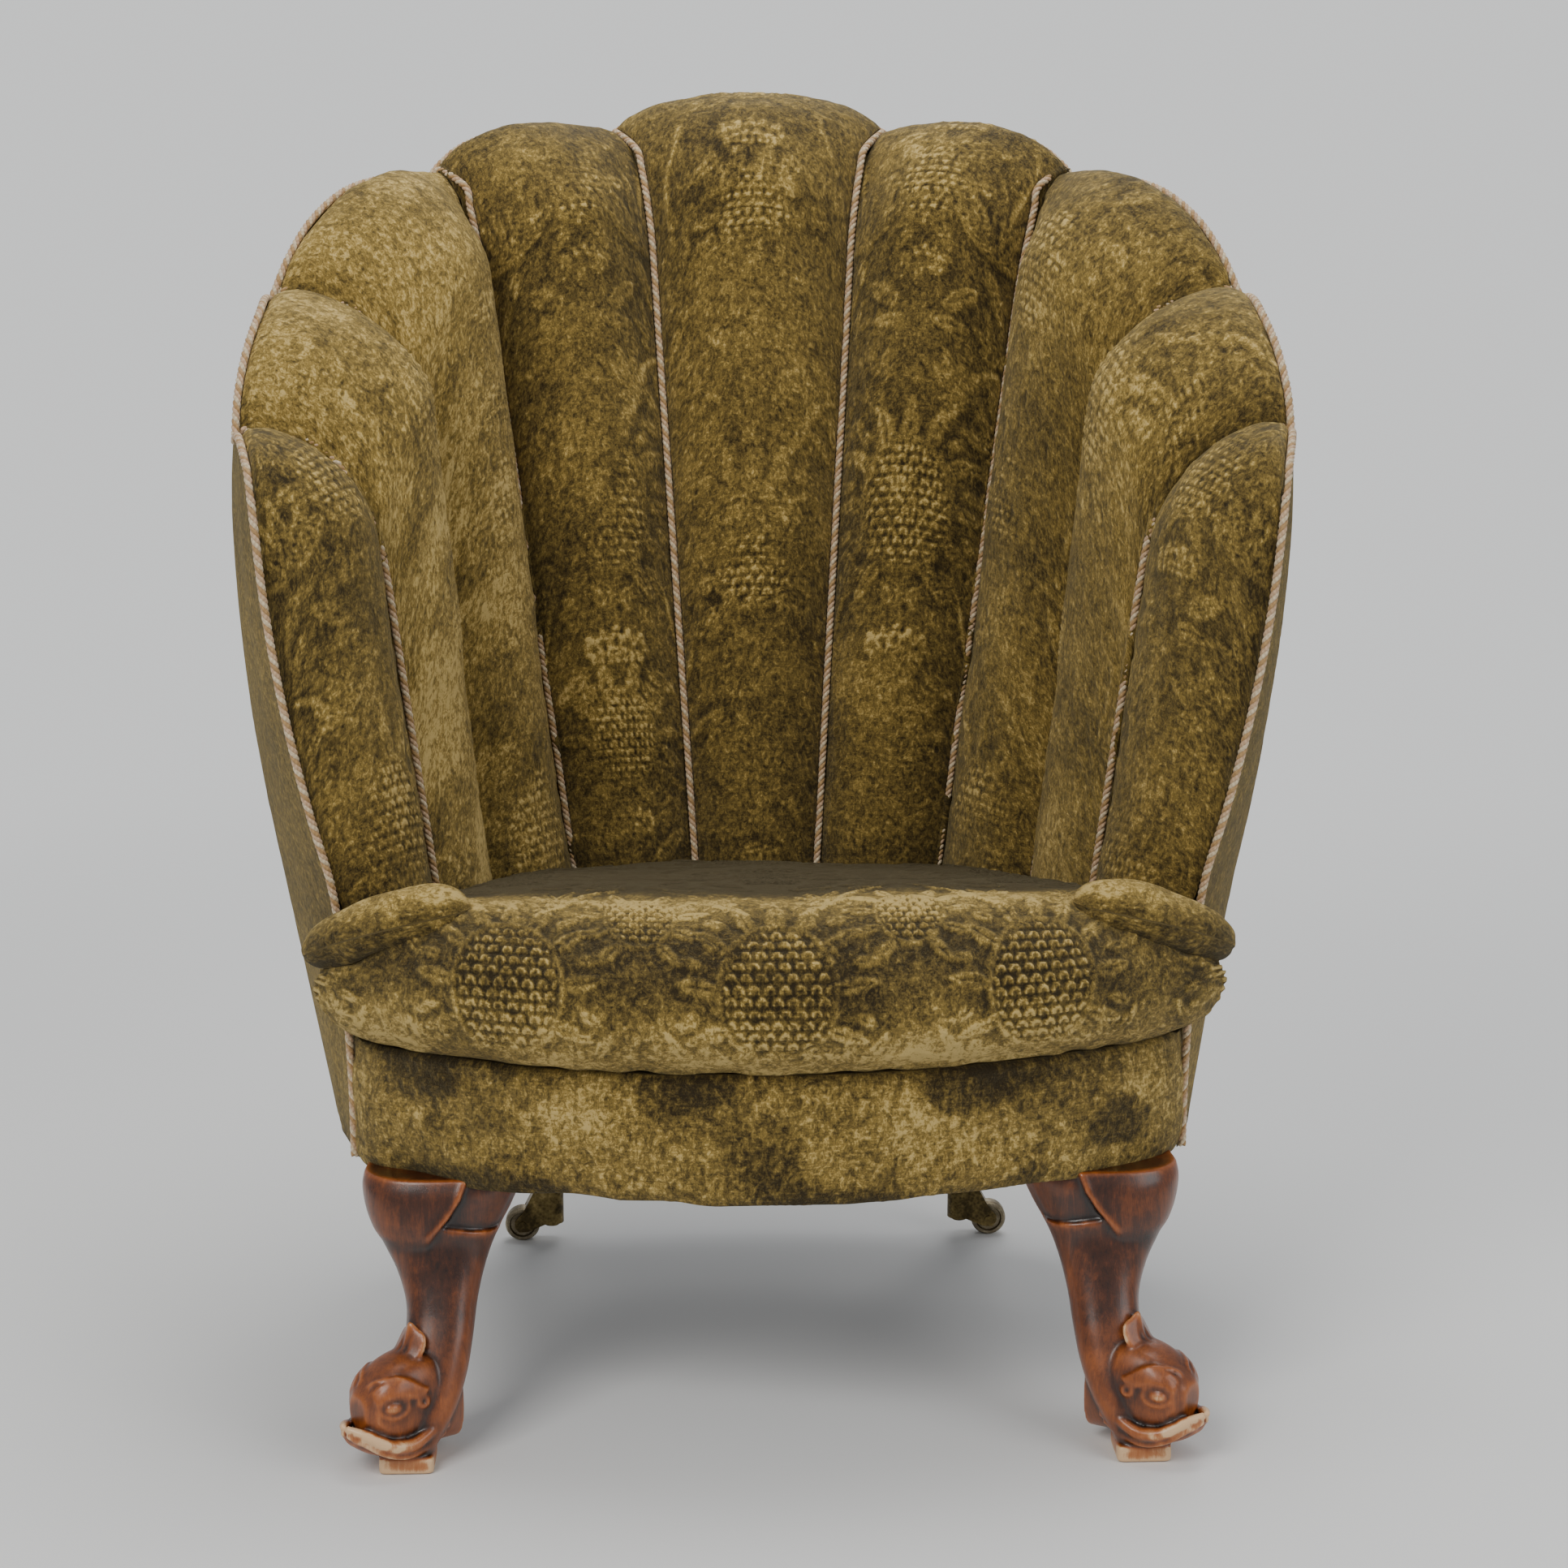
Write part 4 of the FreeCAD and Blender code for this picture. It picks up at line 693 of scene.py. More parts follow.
GOLD_STOPS = [(0.0, srgb(44, 34, 13)), (0.22, srgb(74, 60, 27)), (0.46, srgb(109, 90, 43)),
              (0.68, srgb(142, 118, 57)), (0.87, srgb(179, 150, 80)), (1.0, srgb(211, 183, 114))]
back_velvet = velvet("velvet_back", 1.0, -0.02)
seat_velvet = velvet("velvet_seat", 1.15, 0.02, 1.2)
border_velvet = velvet("velvet_border", 1.25, 0.12, 1.2, 0.6)
outside_velvet = velvet("velvet_outside", 0.7, -0.08, 0.8)


# Channels of the back and arms

PATTERN_RISE = (0.0, 35.0, -245.0, 145.0, -185.0)
# painted light: extra pallor of the sides that catch the light, by channel, right and left
SIDE_LIGHT = ((0.0, 0.0), (0.0, 0.0), (0.0, 0.3), (0.1, 0.34), (0.03, 0.03))


def span_of(n):
    """Bearings of the two creases beside channel n."""
    return (VALLEY_A[n - 1] if n else -VALLEY_A[0]), VALLEY_A[n]


def channel_grid(n):
    """Front of channel n as a grid: columns across from crease to crease, rows from the seat up the wall,
    round the top on a quarter ellipse to the scalloped edge, and a little way down behind it."""
    wide = 90 if n == 0 else 78
    s = np.sin(np.linspace(-np.pi / 2, np.pi / 2, wide + 1))
    low_a, high_a = span_of(n)
    a = low_a + (high_a - low_a) * (s + 1) / 2
    top = edge_height(a)
    ends = (VALLEY_Z[0] if n == 0 else VALLEY_Z[n - 1], VALLEY_Z[n])
    top[0], top[-1] = ends
    span = top - CHANNEL_LOW
    roll_deep = ROLL * (1 - 0.22 * (1 - s * s))
    wall_rows = int((PEAK_Z[n] - CHANNEL_LOW - ROLL) / 1.9)
    share = np.linspace(0, 1, wall_rows, endpoint=False)[:, None]
    start = 1 - roll_deep / span
    turn = np.linspace(0, np.pi / 2, 64)[:, None]
    along = np.vstack([share * start, start + (1 - start) * np.sin(turn)])
    roll = np.vstack([np.zeros((wall_rows, len(s))), (1 - np.cos(turn)) * np.ones(len(s))])
    z = CHANNEL_LOW + span * along
    edges = []
    for number, end, side in ((n, ends[0], -1), (n + 1, ends[1], 1)):
        level = CHANNEL_LOW + (end - CHANNEL_LOW) * along[:, 0 if side < 0 else -1]
        if number == 0:
            line = brought_in(crease_straight(1, level), 5.0) * MIRROR
        elif number == 5:
            line = ring(high_a, level, COVER + 2)
        else:
            line = brought_in(crease_straight(number, level), 5.0)
        edges.append(line)
    chord = edges[1][:, :2] - edges[0][:, :2]
    inward = unit(np.stack([chord[:, 1], -chord[:, 0]], -1))
    full = (1 - s * s) ** 0.94
    rise = (CROWN_RISE - 3) * (0.92 + 0.25 * ramp(z, 420, 800)) * full
    wall = edges[0][:, None, :2] + chord[:, None] * ((s + 1) / 2)[None, :, None]
    wall = wall + inward[:, None] * rise[..., None]
    rim = ring(a[None], z, COVER + 1.5)
    valley_inset = np.where((s > 0) & (n == 4), COVER + 2, back_inset(a[None], z))
    near_end = np.abs(s) ** 6
    rim = rim + (ring(a[None], z, valley_inset) - rim) * (near_end * (1 - roll))[..., None]
    xy = wall + (rim[..., :2] - wall) * roll[..., None]
    front = np.concatenate([xy, z[..., None]], -1)
    behind = []
    for step in np.linspace(0.15, 1, 9):
        inset = COVER + 1.5 - 1.2 * math.sin(math.pi * min(step, 0.5))
        behind.append(ring(a, top - 20 * step * (1 - 0.5 * near_end), inset))
    return np.concatenate([front, np.array(behind)], 0), roll


def spread_out(values, passes):
    """Values of a grid drawn out to their neighbours, keeping the edges."""
    for _ in range(passes):
        padded = np.pad(values, 1, mode="edge")
        values = (padded[:-2, 1:-1] + padded[2:, 1:-1] + padded[1:-1, :-2] + padded[1:-1, 2:]) / 4
    return values


def pile_tone(emboss, light, ground, rim):
    """Tone of a pressed pattern: pale where the pile lies flat, dark round about it, with painted highlights on
    its rims.
    """
    near = np.clip(spread_out(emboss, 45) * 2.2, 0, 1)
    down, over = np.gradient(emboss)
    # the last term is a painted highlight along the pattern's edges
    return light * emboss - ground * near + rim * np.clip(np.hypot(down, over) * 3.0 - 0.2, 0, 1) * near


def soften(grid, rows, passes):
    """Evens out a band of rows so that the edge rounds over."""
    for _ in range(passes):
        middle = grid[rows[0]:rows[1]]
        around = (grid[rows[0] - 1:rows[1] - 1] + grid[rows[0] + 1:rows[1] + 1]) / 2
        grid[rows[0]:rows[1]] = middle + 0.5 * (around - middle)
    return grid


def channel_skin(n, rows, columns, middle_line, front_rows):
    """Rear spine of channel n and the faces of its front, its two sides and its two ends."""
    middle_a = sum(span_of(n)) / 2
    level = np.minimum(middle_line, PEAK_Z[n] - 40)
    spine = ring(np.full(rows, middle_a), level, back_inset(middle_a, level) + 0.5)
    spine[front_rows - 40:] = spine[front_rows - 40]
    base = rows * columns
    j, i = np.arange(rows - 1), np.arange(columns - 1)
    last = i + (rows - 1) * columns
    quads = [grid_quads(rows, columns),
             np.stack([j * columns, (j + 1) * columns, base + j + 1, base + j], -1),
             np.stack([(j + 1) * columns - 1, base + j, base + j + 1, (j + 2) * columns - 1], -1)]
    tris = [np.stack([i, i + 1, np.full_like(i, base)], -1),
            np.stack([last + 1, last, np.full_like(i, base + rows - 1)], -1)]
    return spine, np.vstack(quads), np.vstack(tris)


def channel(n, flip):
    """One stuffed channel: the grid of its front, lifted by soft swells, gathers at its top, puckers along its
    seams and the pressed pattern, kept clear of the cords and closed by a spine behind."""
    grid, roll = channel_grid(n)
    front_rows = len(roll)
    grid = soften(grid, (front_rows - 26, len(grid) - 1), 60)
    normal = facing(grid)
    rows, columns = grid.shape[:2]
    middle = columns // 2
    inside = np.array([0, AXIS_Y - 100, 600]) - grid[:front_rows, middle].mean(0)
    if np.dot(normal[front_rows // 3, middle], inside) < 0:
        normal = -normal
    across = length_along(grid, 1)
    across = across - across[:, middle][:, None]
    up = np.broadcast_to(length_along(grid, 0)[:, middle][:, None], across.shape)
    seed = 20 + 7 * n + (3 if flip else 0)
    rise = up - PATTERN_RISE[n]
    emboss = pressed(across, rise) * worn(across + 400 * n + (900 if flip else 0), rise, seed)
    from_edge = np.minimum(across - across[:, :1], across[:, -1:] - across)
    calm = ramp(from_edge, 0, 14)
    pucker = hills(up, from_edge * 0.4, 13, seed + 2) * np.exp(-from_edge / 11) * 1.1
    at_top = np.concatenate([roll[:, middle], np.ones(rows - front_rows)])[:, None]
    gather = hills(across, up * 0.12, 9, seed + 3) * at_top * 0.55
    swell = hills(across, up, 62, seed + 4) * 1.7 + hills(across, up, 27, seed + 5) * 0.6
    lift = swell * calm + pucker + gather * calm + (emboss - 0.4) * 1.3 * calm
    grid = grid + normal * lift[..., None]
    for number in (n, n + 1):
        if number < 5:
            route = crease_route(number) if number else crease_route(1) * MIRROR
            grid = keep_clear(grid, route, CORD_R + 0.5)
    grid = keep_clear(grid, arm_route(), CORD_R + 0.4)
    spine, quads, tris = channel_skin(n, rows, columns, grid[:, middle, 2], front_rows)
    points = np.vstack([grid.reshape(-1, 3), spine])
    hand = "%d_%s" % (n, "left" if flip else "right") if n else "middle"
    mesh = mesh_of("velvet_channel_" + hand, points * MIRROR if flip else points, quads, tris)
    outward(mesh)

    def fill(values, rest=0.0):
        """Values of the grid, then a resting value for the spine."""
        return np.concatenate([np.broadcast_to(values, (rows, columns)).ravel(), np.full(rows, rest)])

    set_cloth(mesh, fill((-across if flip else across) + 300 * n), fill(rise))
    set_values(mesh, "motif_and_painted_light", fill(pile_tone(emboss, 0.5, 0.42, 0.45) * calm))
    # painted shade beside the creases and low down near the seat
    shade = 0.34 * np.exp(-from_edge / 9.0) + 0.16 * ramp(grid[..., 2], 420, 330)
    set_values(mesh, "painted_shade_and_blotch", fill(shade, 0.5))
    # painted light: paler on the sides that catch the light and where the cloth faces the front or up, with rubbed
    # patches from the hills
    face_on = np.abs(normal[..., 1]) * 0.5 + np.clip(normal[..., 2], 0, 1) * 0.5
    wear_and_painted_light = SIDE_LIGHT[n][flip] * (1 - np.clip(emboss * 3, 0, 1)) + 0.05 * face_on
    wear_and_painted_light = wear_and_painted_light + 0.14 * ramp(hills(across, up, 120, seed + 6), -0.1, 0.8)
    set_values(mesh, "wear_and_painted_light", fill(wear_and_painted_light))
    padded_piece("velvet_channel_" + hand, mesh, back_velvet, "channel_" + hand)


channel(0, False)
for number in (1, 2, 3, 4):
    channel(number, False)
    channel(number, True)


# Twisted cords

CORD_LAY, STRAND_OUT, STRAND_R = 15.0, 1.55, 1.78
CORD_SHADES = (srgb(228, 214, 184), srgb(186, 152, 102), srgb(214, 184, 152))


def cord_material():
    """Soft two-tone yarns that wind along each strand."""
    material, tree, base = nodes_of("twisted_cord")
    cloth = add_node(tree, "UVMap", uv_map="cloth").outputs[0]
    stops = list(zip((0.0, 0.4, 0.9), CORD_SHADES))
    shade = colours(tree, value_of(tree, "strand"), stops, "CONSTANT")
    split = add_node(tree, "SeparateXYZ", {"Vector": cloth}).outputs
    around = sums(tree, "MULTIPLY", split[0], 2.8 * math.pi)
    yarn = wave(tree, sums(tree, "ADD", around, sums(tree, "MULTIPLY", split[1], 840 * math.pi)))
    dark = blend_colours(tree, sums(tree, "MULTIPLY", yarn, 0.35), shade, srgb(140, 104, 66))
    tints = [(0.35, srgb(196, 176, 146)), (0.6, srgb(255, 252, 244))]
    soiled = colours(tree, noise(tree, cloth, 30.0, 3.0), tints)
    plug(tree, base, {"Base Color": blend_colours(tree, 0.75, dark, soiled, "MULTIPLY"),
                      "Roughness": 0.7, "Sheen Weight": 0.25})
    relief(tree, base, yarn, 0.5, 0.0004)
    return material


twisted = cord_material()


def twisted_cord(name, route, node, flip):
    """Three round strands wound as helices round one line."""
    line, at = smooth_path(route, 1.25)
    side, up = carried_frame(line)[1:]
    parts, strands, around, along = [], [], [], []
    sides = 8
    for k in range(3):
        turn = 2 * np.pi * (at / CORD_LAY + k / 3.0)
        centre = line + STRAND_OUT * (side * np.cos(turn)[:, None] + up * np.sin(turn)[:, None])
        tube = tube_points(centre, STRAND_R, sides)
        parts.append(closed_tube(tube))
        count = tube.shape[0]
        strands.append(np.full(count * sides + 2, k / 2.0 * 0.96))
        around.append(np.concatenate([np.tile(np.arange(sides) / sides, count), [0, 0]]) * 1000)
        along.append(np.concatenate([np.repeat(at, sides), [0, at[-1]]]))
    points, quads, tris = merged(parts)
    mesh = mesh_of(name, points * MIRROR if flip else points, quads, tris)
    if flip:
        mesh.flip_normals()
    set_values(mesh, "strand", np.concatenate(strands))
    set_cloth(mesh, np.concatenate(around), np.concatenate(along))
    piece(name, mesh, twisted, node)


for flip, hand in ((False, "right"), (True, "left")):
    for number in (1, 2, 3, 4):
        tail = "%d_%s" % (number, hand)
        twisted_cord("cord_" + tail, crease_route(number), "crease_cord_" + tail, flip)
    twisted_cord("cord_edge_" + hand, arm_route(), "arm_cord_" + hand, flip)


# Seat, border and arm pads

FRONT_Y, SIDE_Y, CORNER_Y, BORDER_HALF, CORNER_X = -327.0, -172.0, -243.0, 329.0, 292.0
SEAM_Z, SEAT_CROWN, SEAT_REAR, NOSE_Z = 310.0, 432.0, 366.0, 360.0
NOSE_REACH, SEAT_WALL_Z, BACK_CUT = 84.0, 385.0, 0.335
# how far the seat keeps from the chord of each channel
SEAT_KEEP = (24.0, 24.0, 24.0, 24.0, 16.0)
BOW_R = (CORNER_X ** 2 + (CORNER_Y - FRONT_Y) ** 2) / (2 * (CORNER_Y - FRONT_Y))


def arc_points(a, b, c, count):
    """Points of the circle through a, b and c, from a to c, in plan."""
    a, b, c = (np.array(p[:2], float) for p in (a, b, c))
    d = 2 * ((b - a)[0] * (c - a)[1] - (b - a)[1] * (c - a)[0])
    if abs(d) < 1e-6:
        return a + (c - a) * np.linspace(0, 1, count)[:, None]
    ab, ac = ((b - a) ** 2).sum(), ((c - a) ** 2).sum()
    centre = a + np.array([(c - a)[1] * ab - (b - a)[1] * ac, (b - a)[0] * ac - (c - a)[0] * ab]) / d
    start = math.atan2(*(a - centre)[::-1])
    middle, end = math.atan2(*(b - centre)[::-1]), math.atan2(*(c - centre)[::-1])
    sweep = (end - start) % (2 * math.pi)
    if (middle - start) % (2 * math.pi) > sweep:
        sweep -= 2 * math.pi
    angle = start + sweep * np.linspace(0, 1, count)
    return centre + np.linalg.norm(a - centre) * np.stack([np.cos(angle), np.sin(angle)], -1)


def bow_y(x, inset=0.0):
    """Front of the circular bow at x, inset from the border's face."""
    return FRONT_Y + BOW_R - math.sqrt((BOW_R - inset) ** 2 - x * x)


def front_line(inset):
    """Plan of the border's face from its left end round the bow to its right end, inset from the face,
    as evenly spaced points, with the share of the whole at each."""
    turn_x = CORNER_X + (BORDER_HALF - CORNER_X) * 0.72
    turn_y = CORNER_Y + (SIDE_Y - CORNER_Y) * 0.36
    x = CORNER_X - 0.3 * inset
    corner = (x, bow_y(x, inset))
    turn, end = (turn_x - 0.75 * inset, turn_y + 0.66 * inset), (BORDER_HALF - inset, SIDE_Y)
    half = np.vstack([arc_points((0, bow_y(0, inset)), (x / 2, bow_y(x / 2, inset)), corner, 120),
                      arc_points(corner, turn, end, 60)[1:]])
    line = np.vstack([half[::-1] * np.array([-1, 1]), half[1:]])
    far = np.concatenate([[0], np.cumsum(np.linalg.norm(np.diff(line, axis=0), axis=1))])
    return line, far / far[-1], far[-1]


def at_share(line, share, wanted):
    """Places on a plan line at wanted shares of its length."""
    return np.stack([np.interp(wanted, share, line[:, k]) for k in (0, 1)], -1)


def crown_height(x, y):
    """Top of the seat: high behind the nose, falling to the back and a little to the sides."""
    t = np.clip((y + 376) / 588, 0, 1)
    return SEAT_CROWN - (SEAT_CROWN - SEAT_REAR) * ramp(t, 0.14, 1.04) - 16 * (np.asarray(x) / 401) ** 2


def seat_plan(columns, top_rows):
    """Plan of the seat's top: a patch blended between its four edges, the back and sides against the channels
    and the front on the border's line, with its front edge."""
    wanted = np.linspace(0, 1, columns + 1)
    base, share = front_line(45.0)[:2]
    front = at_share(base, share, 0.035 + 0.93 * wanted)
    marks = []
    for n in range(5):
        end = crease(n + 1, SEAT_WALL_Z)[:2]
        if n == 0:
            marks.append([0, end[1] - SEAT_KEEP[0]])
            continue
        start = crease(n, SEAT_WALL_Z)[:2]
        way = unit(end - start)
        marks.append((start + end) / 2 + np.array([way[1], -way[0]]) * SEAT_KEEP[n])
    marks.append([front[-1][0] + 4, front[-1][1]])
    marks = np.array(marks)
    wall = np.vstack([marks[::-1] * MIRROR[:2], marks[1:]])
    line, at = smooth_path(np.hstack([wall, np.zeros((len(wall), 1))]), 2.0)
    line, at = line[:, :2], at / at[-1]
    back = at_share(line, at, BACK_CUT + (1 - 2 * BACK_CUT) * wanted)
    v = np.linspace(0, 1, top_rows)
    left = at_share(line, at, BACK_CUT * (1 - v))
    right = at_share(line, at, 1 - BACK_CUT * (1 - v))
    u, w = wanted[None, :, None], v[:, None, None]
    corners = (back[0] * (1 - u) + back[-1] * u) * (1 - w) + (front[0] * (1 - u) + front[-1] * u) * w
    plan = (back[None] * (1 - w) + front[None] * w) + (left[:, None] * (1 - u) + right[:, None] * u) - corners
    edge_near = np.minimum(np.minimum(wanted, 1 - wanted)[None] * 620, (v * 420)[:, None])
    return plan, front, edge_near


def nose_rows(front, lip, over_rows, under_rows):
    """Rows of the nose: a quarter ellipse out and over, then a flatter one in to the seam."""
    along = np.gradient(front, axis=0)
    normal = unit(np.stack([along[:, 1], -along[:, 0]], -1))
    rows = []
    for k in range(1, over_rows + 1):
        turn = math.pi / 2 * k / over_rows
        level = NOSE_Z + (lip - NOSE_Z) * math.cos(turn)
        rows.append(np.column_stack([front + normal * NOSE_REACH * math.sin(turn), level]))
    for k in range(1, under_rows + 1):
        fall = k / under_rows
        reach = NOSE_REACH * math.sqrt(1 - (0.88 * fall) ** 2)
        level = np.full(len(front), NOSE_Z - (NOSE_Z - SEAM_Z) * fall)
        rows.append(np.column_stack([front + normal * reach, level]))
    return np.array(rows)


def seat_piece():
    """A four-sided patch of cloth: its back and sides lie against the channels, its front runs over the nose
    on half an ellipse and in to the seam; soft swells, tucks at the seam and the pressed pattern lift it."""
    columns, top_rows, over_rows, under_rows = 440, 200, 66, 34
    plan, front, edge_near = seat_plan(columns, top_rows)
    top = np.concatenate([plan, crown_height(plan[..., 0], plan[..., 1])[..., None]], -1)
    top[..., 2] -= 26 * np.exp(-edge_near / 9.0)
    grid = np.concatenate([top, nose_rows(front, top[-1, :, 2], over_rows, under_rows)], 0)
    out = facing(grid)
    if out[top_rows // 2, columns // 2, 2] < 0:
        out = -out
    row_count = len(grid)
    on_nose = (row_count - top_rows, columns + 1)
    across = length_along(grid, 1)
    across = across - across[:, columns // 2][:, None]
    up = np.broadcast_to(length_along(grid, 0)[:, columns // 2][:, None], across.shape)
    up = up[-1, 0] - up
    rise = up + 250.0
    keep = (0.35 + 0.65 * worn(across + 333, rise, 81)) * ramp(up, 10, 60)
    keep = np.where(up < 190, np.maximum(keep, ramp(up, 20, 60) * 0.85), keep)
    emboss = pressed(across, rise) * keep
    tuck = hills(across, up * 0.3, 17, 82) * np.exp(-up / 14) * 1.6
    swell = hills(across, up, 85, 83) * 2.4 + hills(across, up, 34, 84) * 0.9
    calm = ramp(np.concatenate([edge_near, np.full(on_nose, 60.0)]), 0, 25)
    grid = grid + out * ((swell + (emboss - 0.35) * 2.6) * calm * ramp(up, 0, 14) + tuck)[..., None]
    loop = np.concatenate([grid[0, :-1], grid[:-1, -1], grid[-1, ::-1][:-1], grid[::-1, 0][:-1]])
    skirt = loop * np.array([0.9, 0.9, 0]) + np.array([0, -10, SEAM_Z + 1.5])
    points = np.vstack([grid.reshape(-1, 3), skirt, [[0, -80, SEAM_Z + 1.5]]])
    index = np.arange(row_count * (columns + 1)).reshape(row_count, columns + 1)
    rim = np.concatenate([index[0, :-1], index[:-1, -1], index[-1, ::-1][:-1], index[::-1, 0][:-1]])
    count = len(rim)
    low = np.arange(count) + index.size
    after = np.roll(np.arange(count), -1)
    quads = np.vstack([grid_quads(row_count, columns + 1), np.stack([rim, low, low[after], rim[after]], -1)])
    tris = np.stack([low, np.full(count, index.size + count), low[after]], -1)
    mesh = mesh_of("velvet_seat", points, quads, tris)
    outward(mesh)

    def fill(values, rest=0.0):
        """Values of the grid, then a resting value for what closes it below."""
        return np.concatenate([np.broadcast_to(values, across.shape).ravel(), np.full(count + 1, rest)])

    set_cloth(mesh, fill(across), fill(rise))
    wander = 16 * hills(across, up, 70, 87)
    # bands across the nose: lighter at its foot, darker above, and a painted highlight along its crown
    shade = 0.16 * ramp(up + wander, 60, 110) * (1 - ramp(up, 150, 190)) - 0.16 * (1 - ramp(up + wander, 40, 96))
    shade = shade - 0.36 * np.exp(-((up - 200) / 24) ** 2)
    v = np.linspace(0, 1, top_rows)[:, None]
    # painted shade over the seat's top behind its front edge
    top_shade = np.concatenate([0.4 * ramp(v, 0.97, 0.8) * np.ones(columns + 1), np.zeros(on_nose)])
    set_values(mesh, "motif_and_painted_light", fill((pile_tone(emboss, 0.8, 0.5, 0.3) - shade) * calm - top_shade))
    # painted shade: darker against the channels, over the seat's top behind its front, and at the seam
    wall_shade = np.concatenate([0.5 * np.exp(-edge_near / 40) + 0.95 * ramp(v, 0.975, 0.74), np.zeros(on_nose)])
    set_values(mesh, "painted_shade_and_blotch", fill(wall_shade + 0.2 * np.exp(-up / 12), 0.5))
    # paler in patches low on the nose, a painted highlight along the crown, and a few rubbed patches
    pale = 0.3 * ramp(up, 90, 30) * ramp(hills(across, up, 60, 86), -0.7, 0.3)
    pale = pale + 0.2 * np.exp(-((up - 172) / 22) ** 2)
    set_values(mesh, "wear_and_painted_light", fill(pale + 0.1 * ramp(hills(across, up, 130, 85), 0, 0.8)))
    padded_piece("velvet_seat", mesh, seat_velvet, "seat")


def border_piece():
    """The stuffed border under the nose: one strip round the bow, swelling at its middle, turned under below,
    pulled into waves along its lower edge, with a plain inner side."""
    columns, rows, deep = 460, 60, 16.0
    high = SEAM_Z - BASE
    wanted = np.linspace(0.0, 1.0, columns + 1)
    across = np.broadcast_to(((wanted - 0.5) * front_line(0.0)[2])[None], (rows + 1, columns + 1))
    share_up = np.linspace(0, 1, rows + 1)
    grid = []
    for t in share_up:
        swell = 3 * math.sin(math.pi * t) - 4 * max(0, 1 - t / 0.14) ** 2 - 3 * max(0, 1 - (1 - t) / 0.06) ** 2
        line, share = front_line(-swell)[:2]
        level = np.full(columns + 1, BASE + 0.3 + (high - 0.6) * t)
        grid.append(np.column_stack([at_share(line, share, wanted), level]))
    grid = np.array(grid)
    out = facing(grid)
    if out[rows // 2, columns // 2, 1] > 0:
        out = -out
    height = np.broadcast_to((share_up * high)[:, None], across.shape)
    pull = hills(across, height * 2.2, 46, 91) * 1.5 + hills(across * 0.5, height, 15, 92) * 0.7
    low_wave = hills(across, height * 0, 42, 93) * np.exp(-height / 22) * 2.6
    rise = height + 205.0
    emboss = pressed(across, rise) * worn(across + 77, rise, 94) * 0.6
    grid = grid + out * (pull + low_wave + (emboss - 0.2) * 1.0)[..., None]
    grid[0, :, 2] += 1.2 + 1.2 * hills(across[0], across[0] * 0, 30, 95)
    line, share = front_line(deep)[:2]
    inner = at_share(line, share, wanted)
    rear = np.array([np.column_stack([inner, np.full(columns + 1, z)]) for z in (SEAM_Z - 0.6, BASE + 1.5)])
    whole = np.concatenate([grid, rear], 0)
    total = len(whole)
    index = np.arange(total * (columns + 1)).reshape(total, columns + 1)
    points = np.vstack([whole.reshape(-1, 3), whole[:, 0].mean(0)[None], whole[:, -1].mean(0)[None]])
    k = np.arange(total)
    k2 = (k + 1) % total
    tris = np.vstack([np.stack([index[k, 0], index[k2, 0], np.full(total, index.size)], -1),
                      np.stack([index[k2, -1], index[k, -1], np.full(total, index.size + 1)], -1)])
    mesh = mesh_of("velvet_border", points, grid_quads(total, columns + 1, wrap_rows=True), tris)
    outward(mesh)

    def fill(values, rest=0.0):
        """Values of the strip, then a resting value for its inner side and ends."""
        return np.concatenate([values.ravel(), np.full(2 * (columns + 1) + 2, rest)])

    set_cloth(mesh, fill(across), fill(rise))
    set_values(mesh, "motif_and_painted_light", fill(pile_tone(emboss, 0.25, 0.25, 0.2)))
    # darker blotches at random, and painted shade under the nose and along the foot
    patch = ramp(hills(across, height * 1.6, 70, 96), 0.05, 0.55) * 0.4
    shade = 0.3 * np.exp(-(high - height) / 10) + patch + 0.18 * np.exp(-height / 6)
    set_values(mesh, "painted_shade_and_blotch", fill(shade, 0.4))
    set_values(mesh, "wear_and_painted_light", fill(0.16 * ramp(height, 10, 60) * ramp(hills(across, height, 80, 97), -0.6, 0.4)))
    padded_piece("velvet_border", mesh, border_velvet, "front_border")


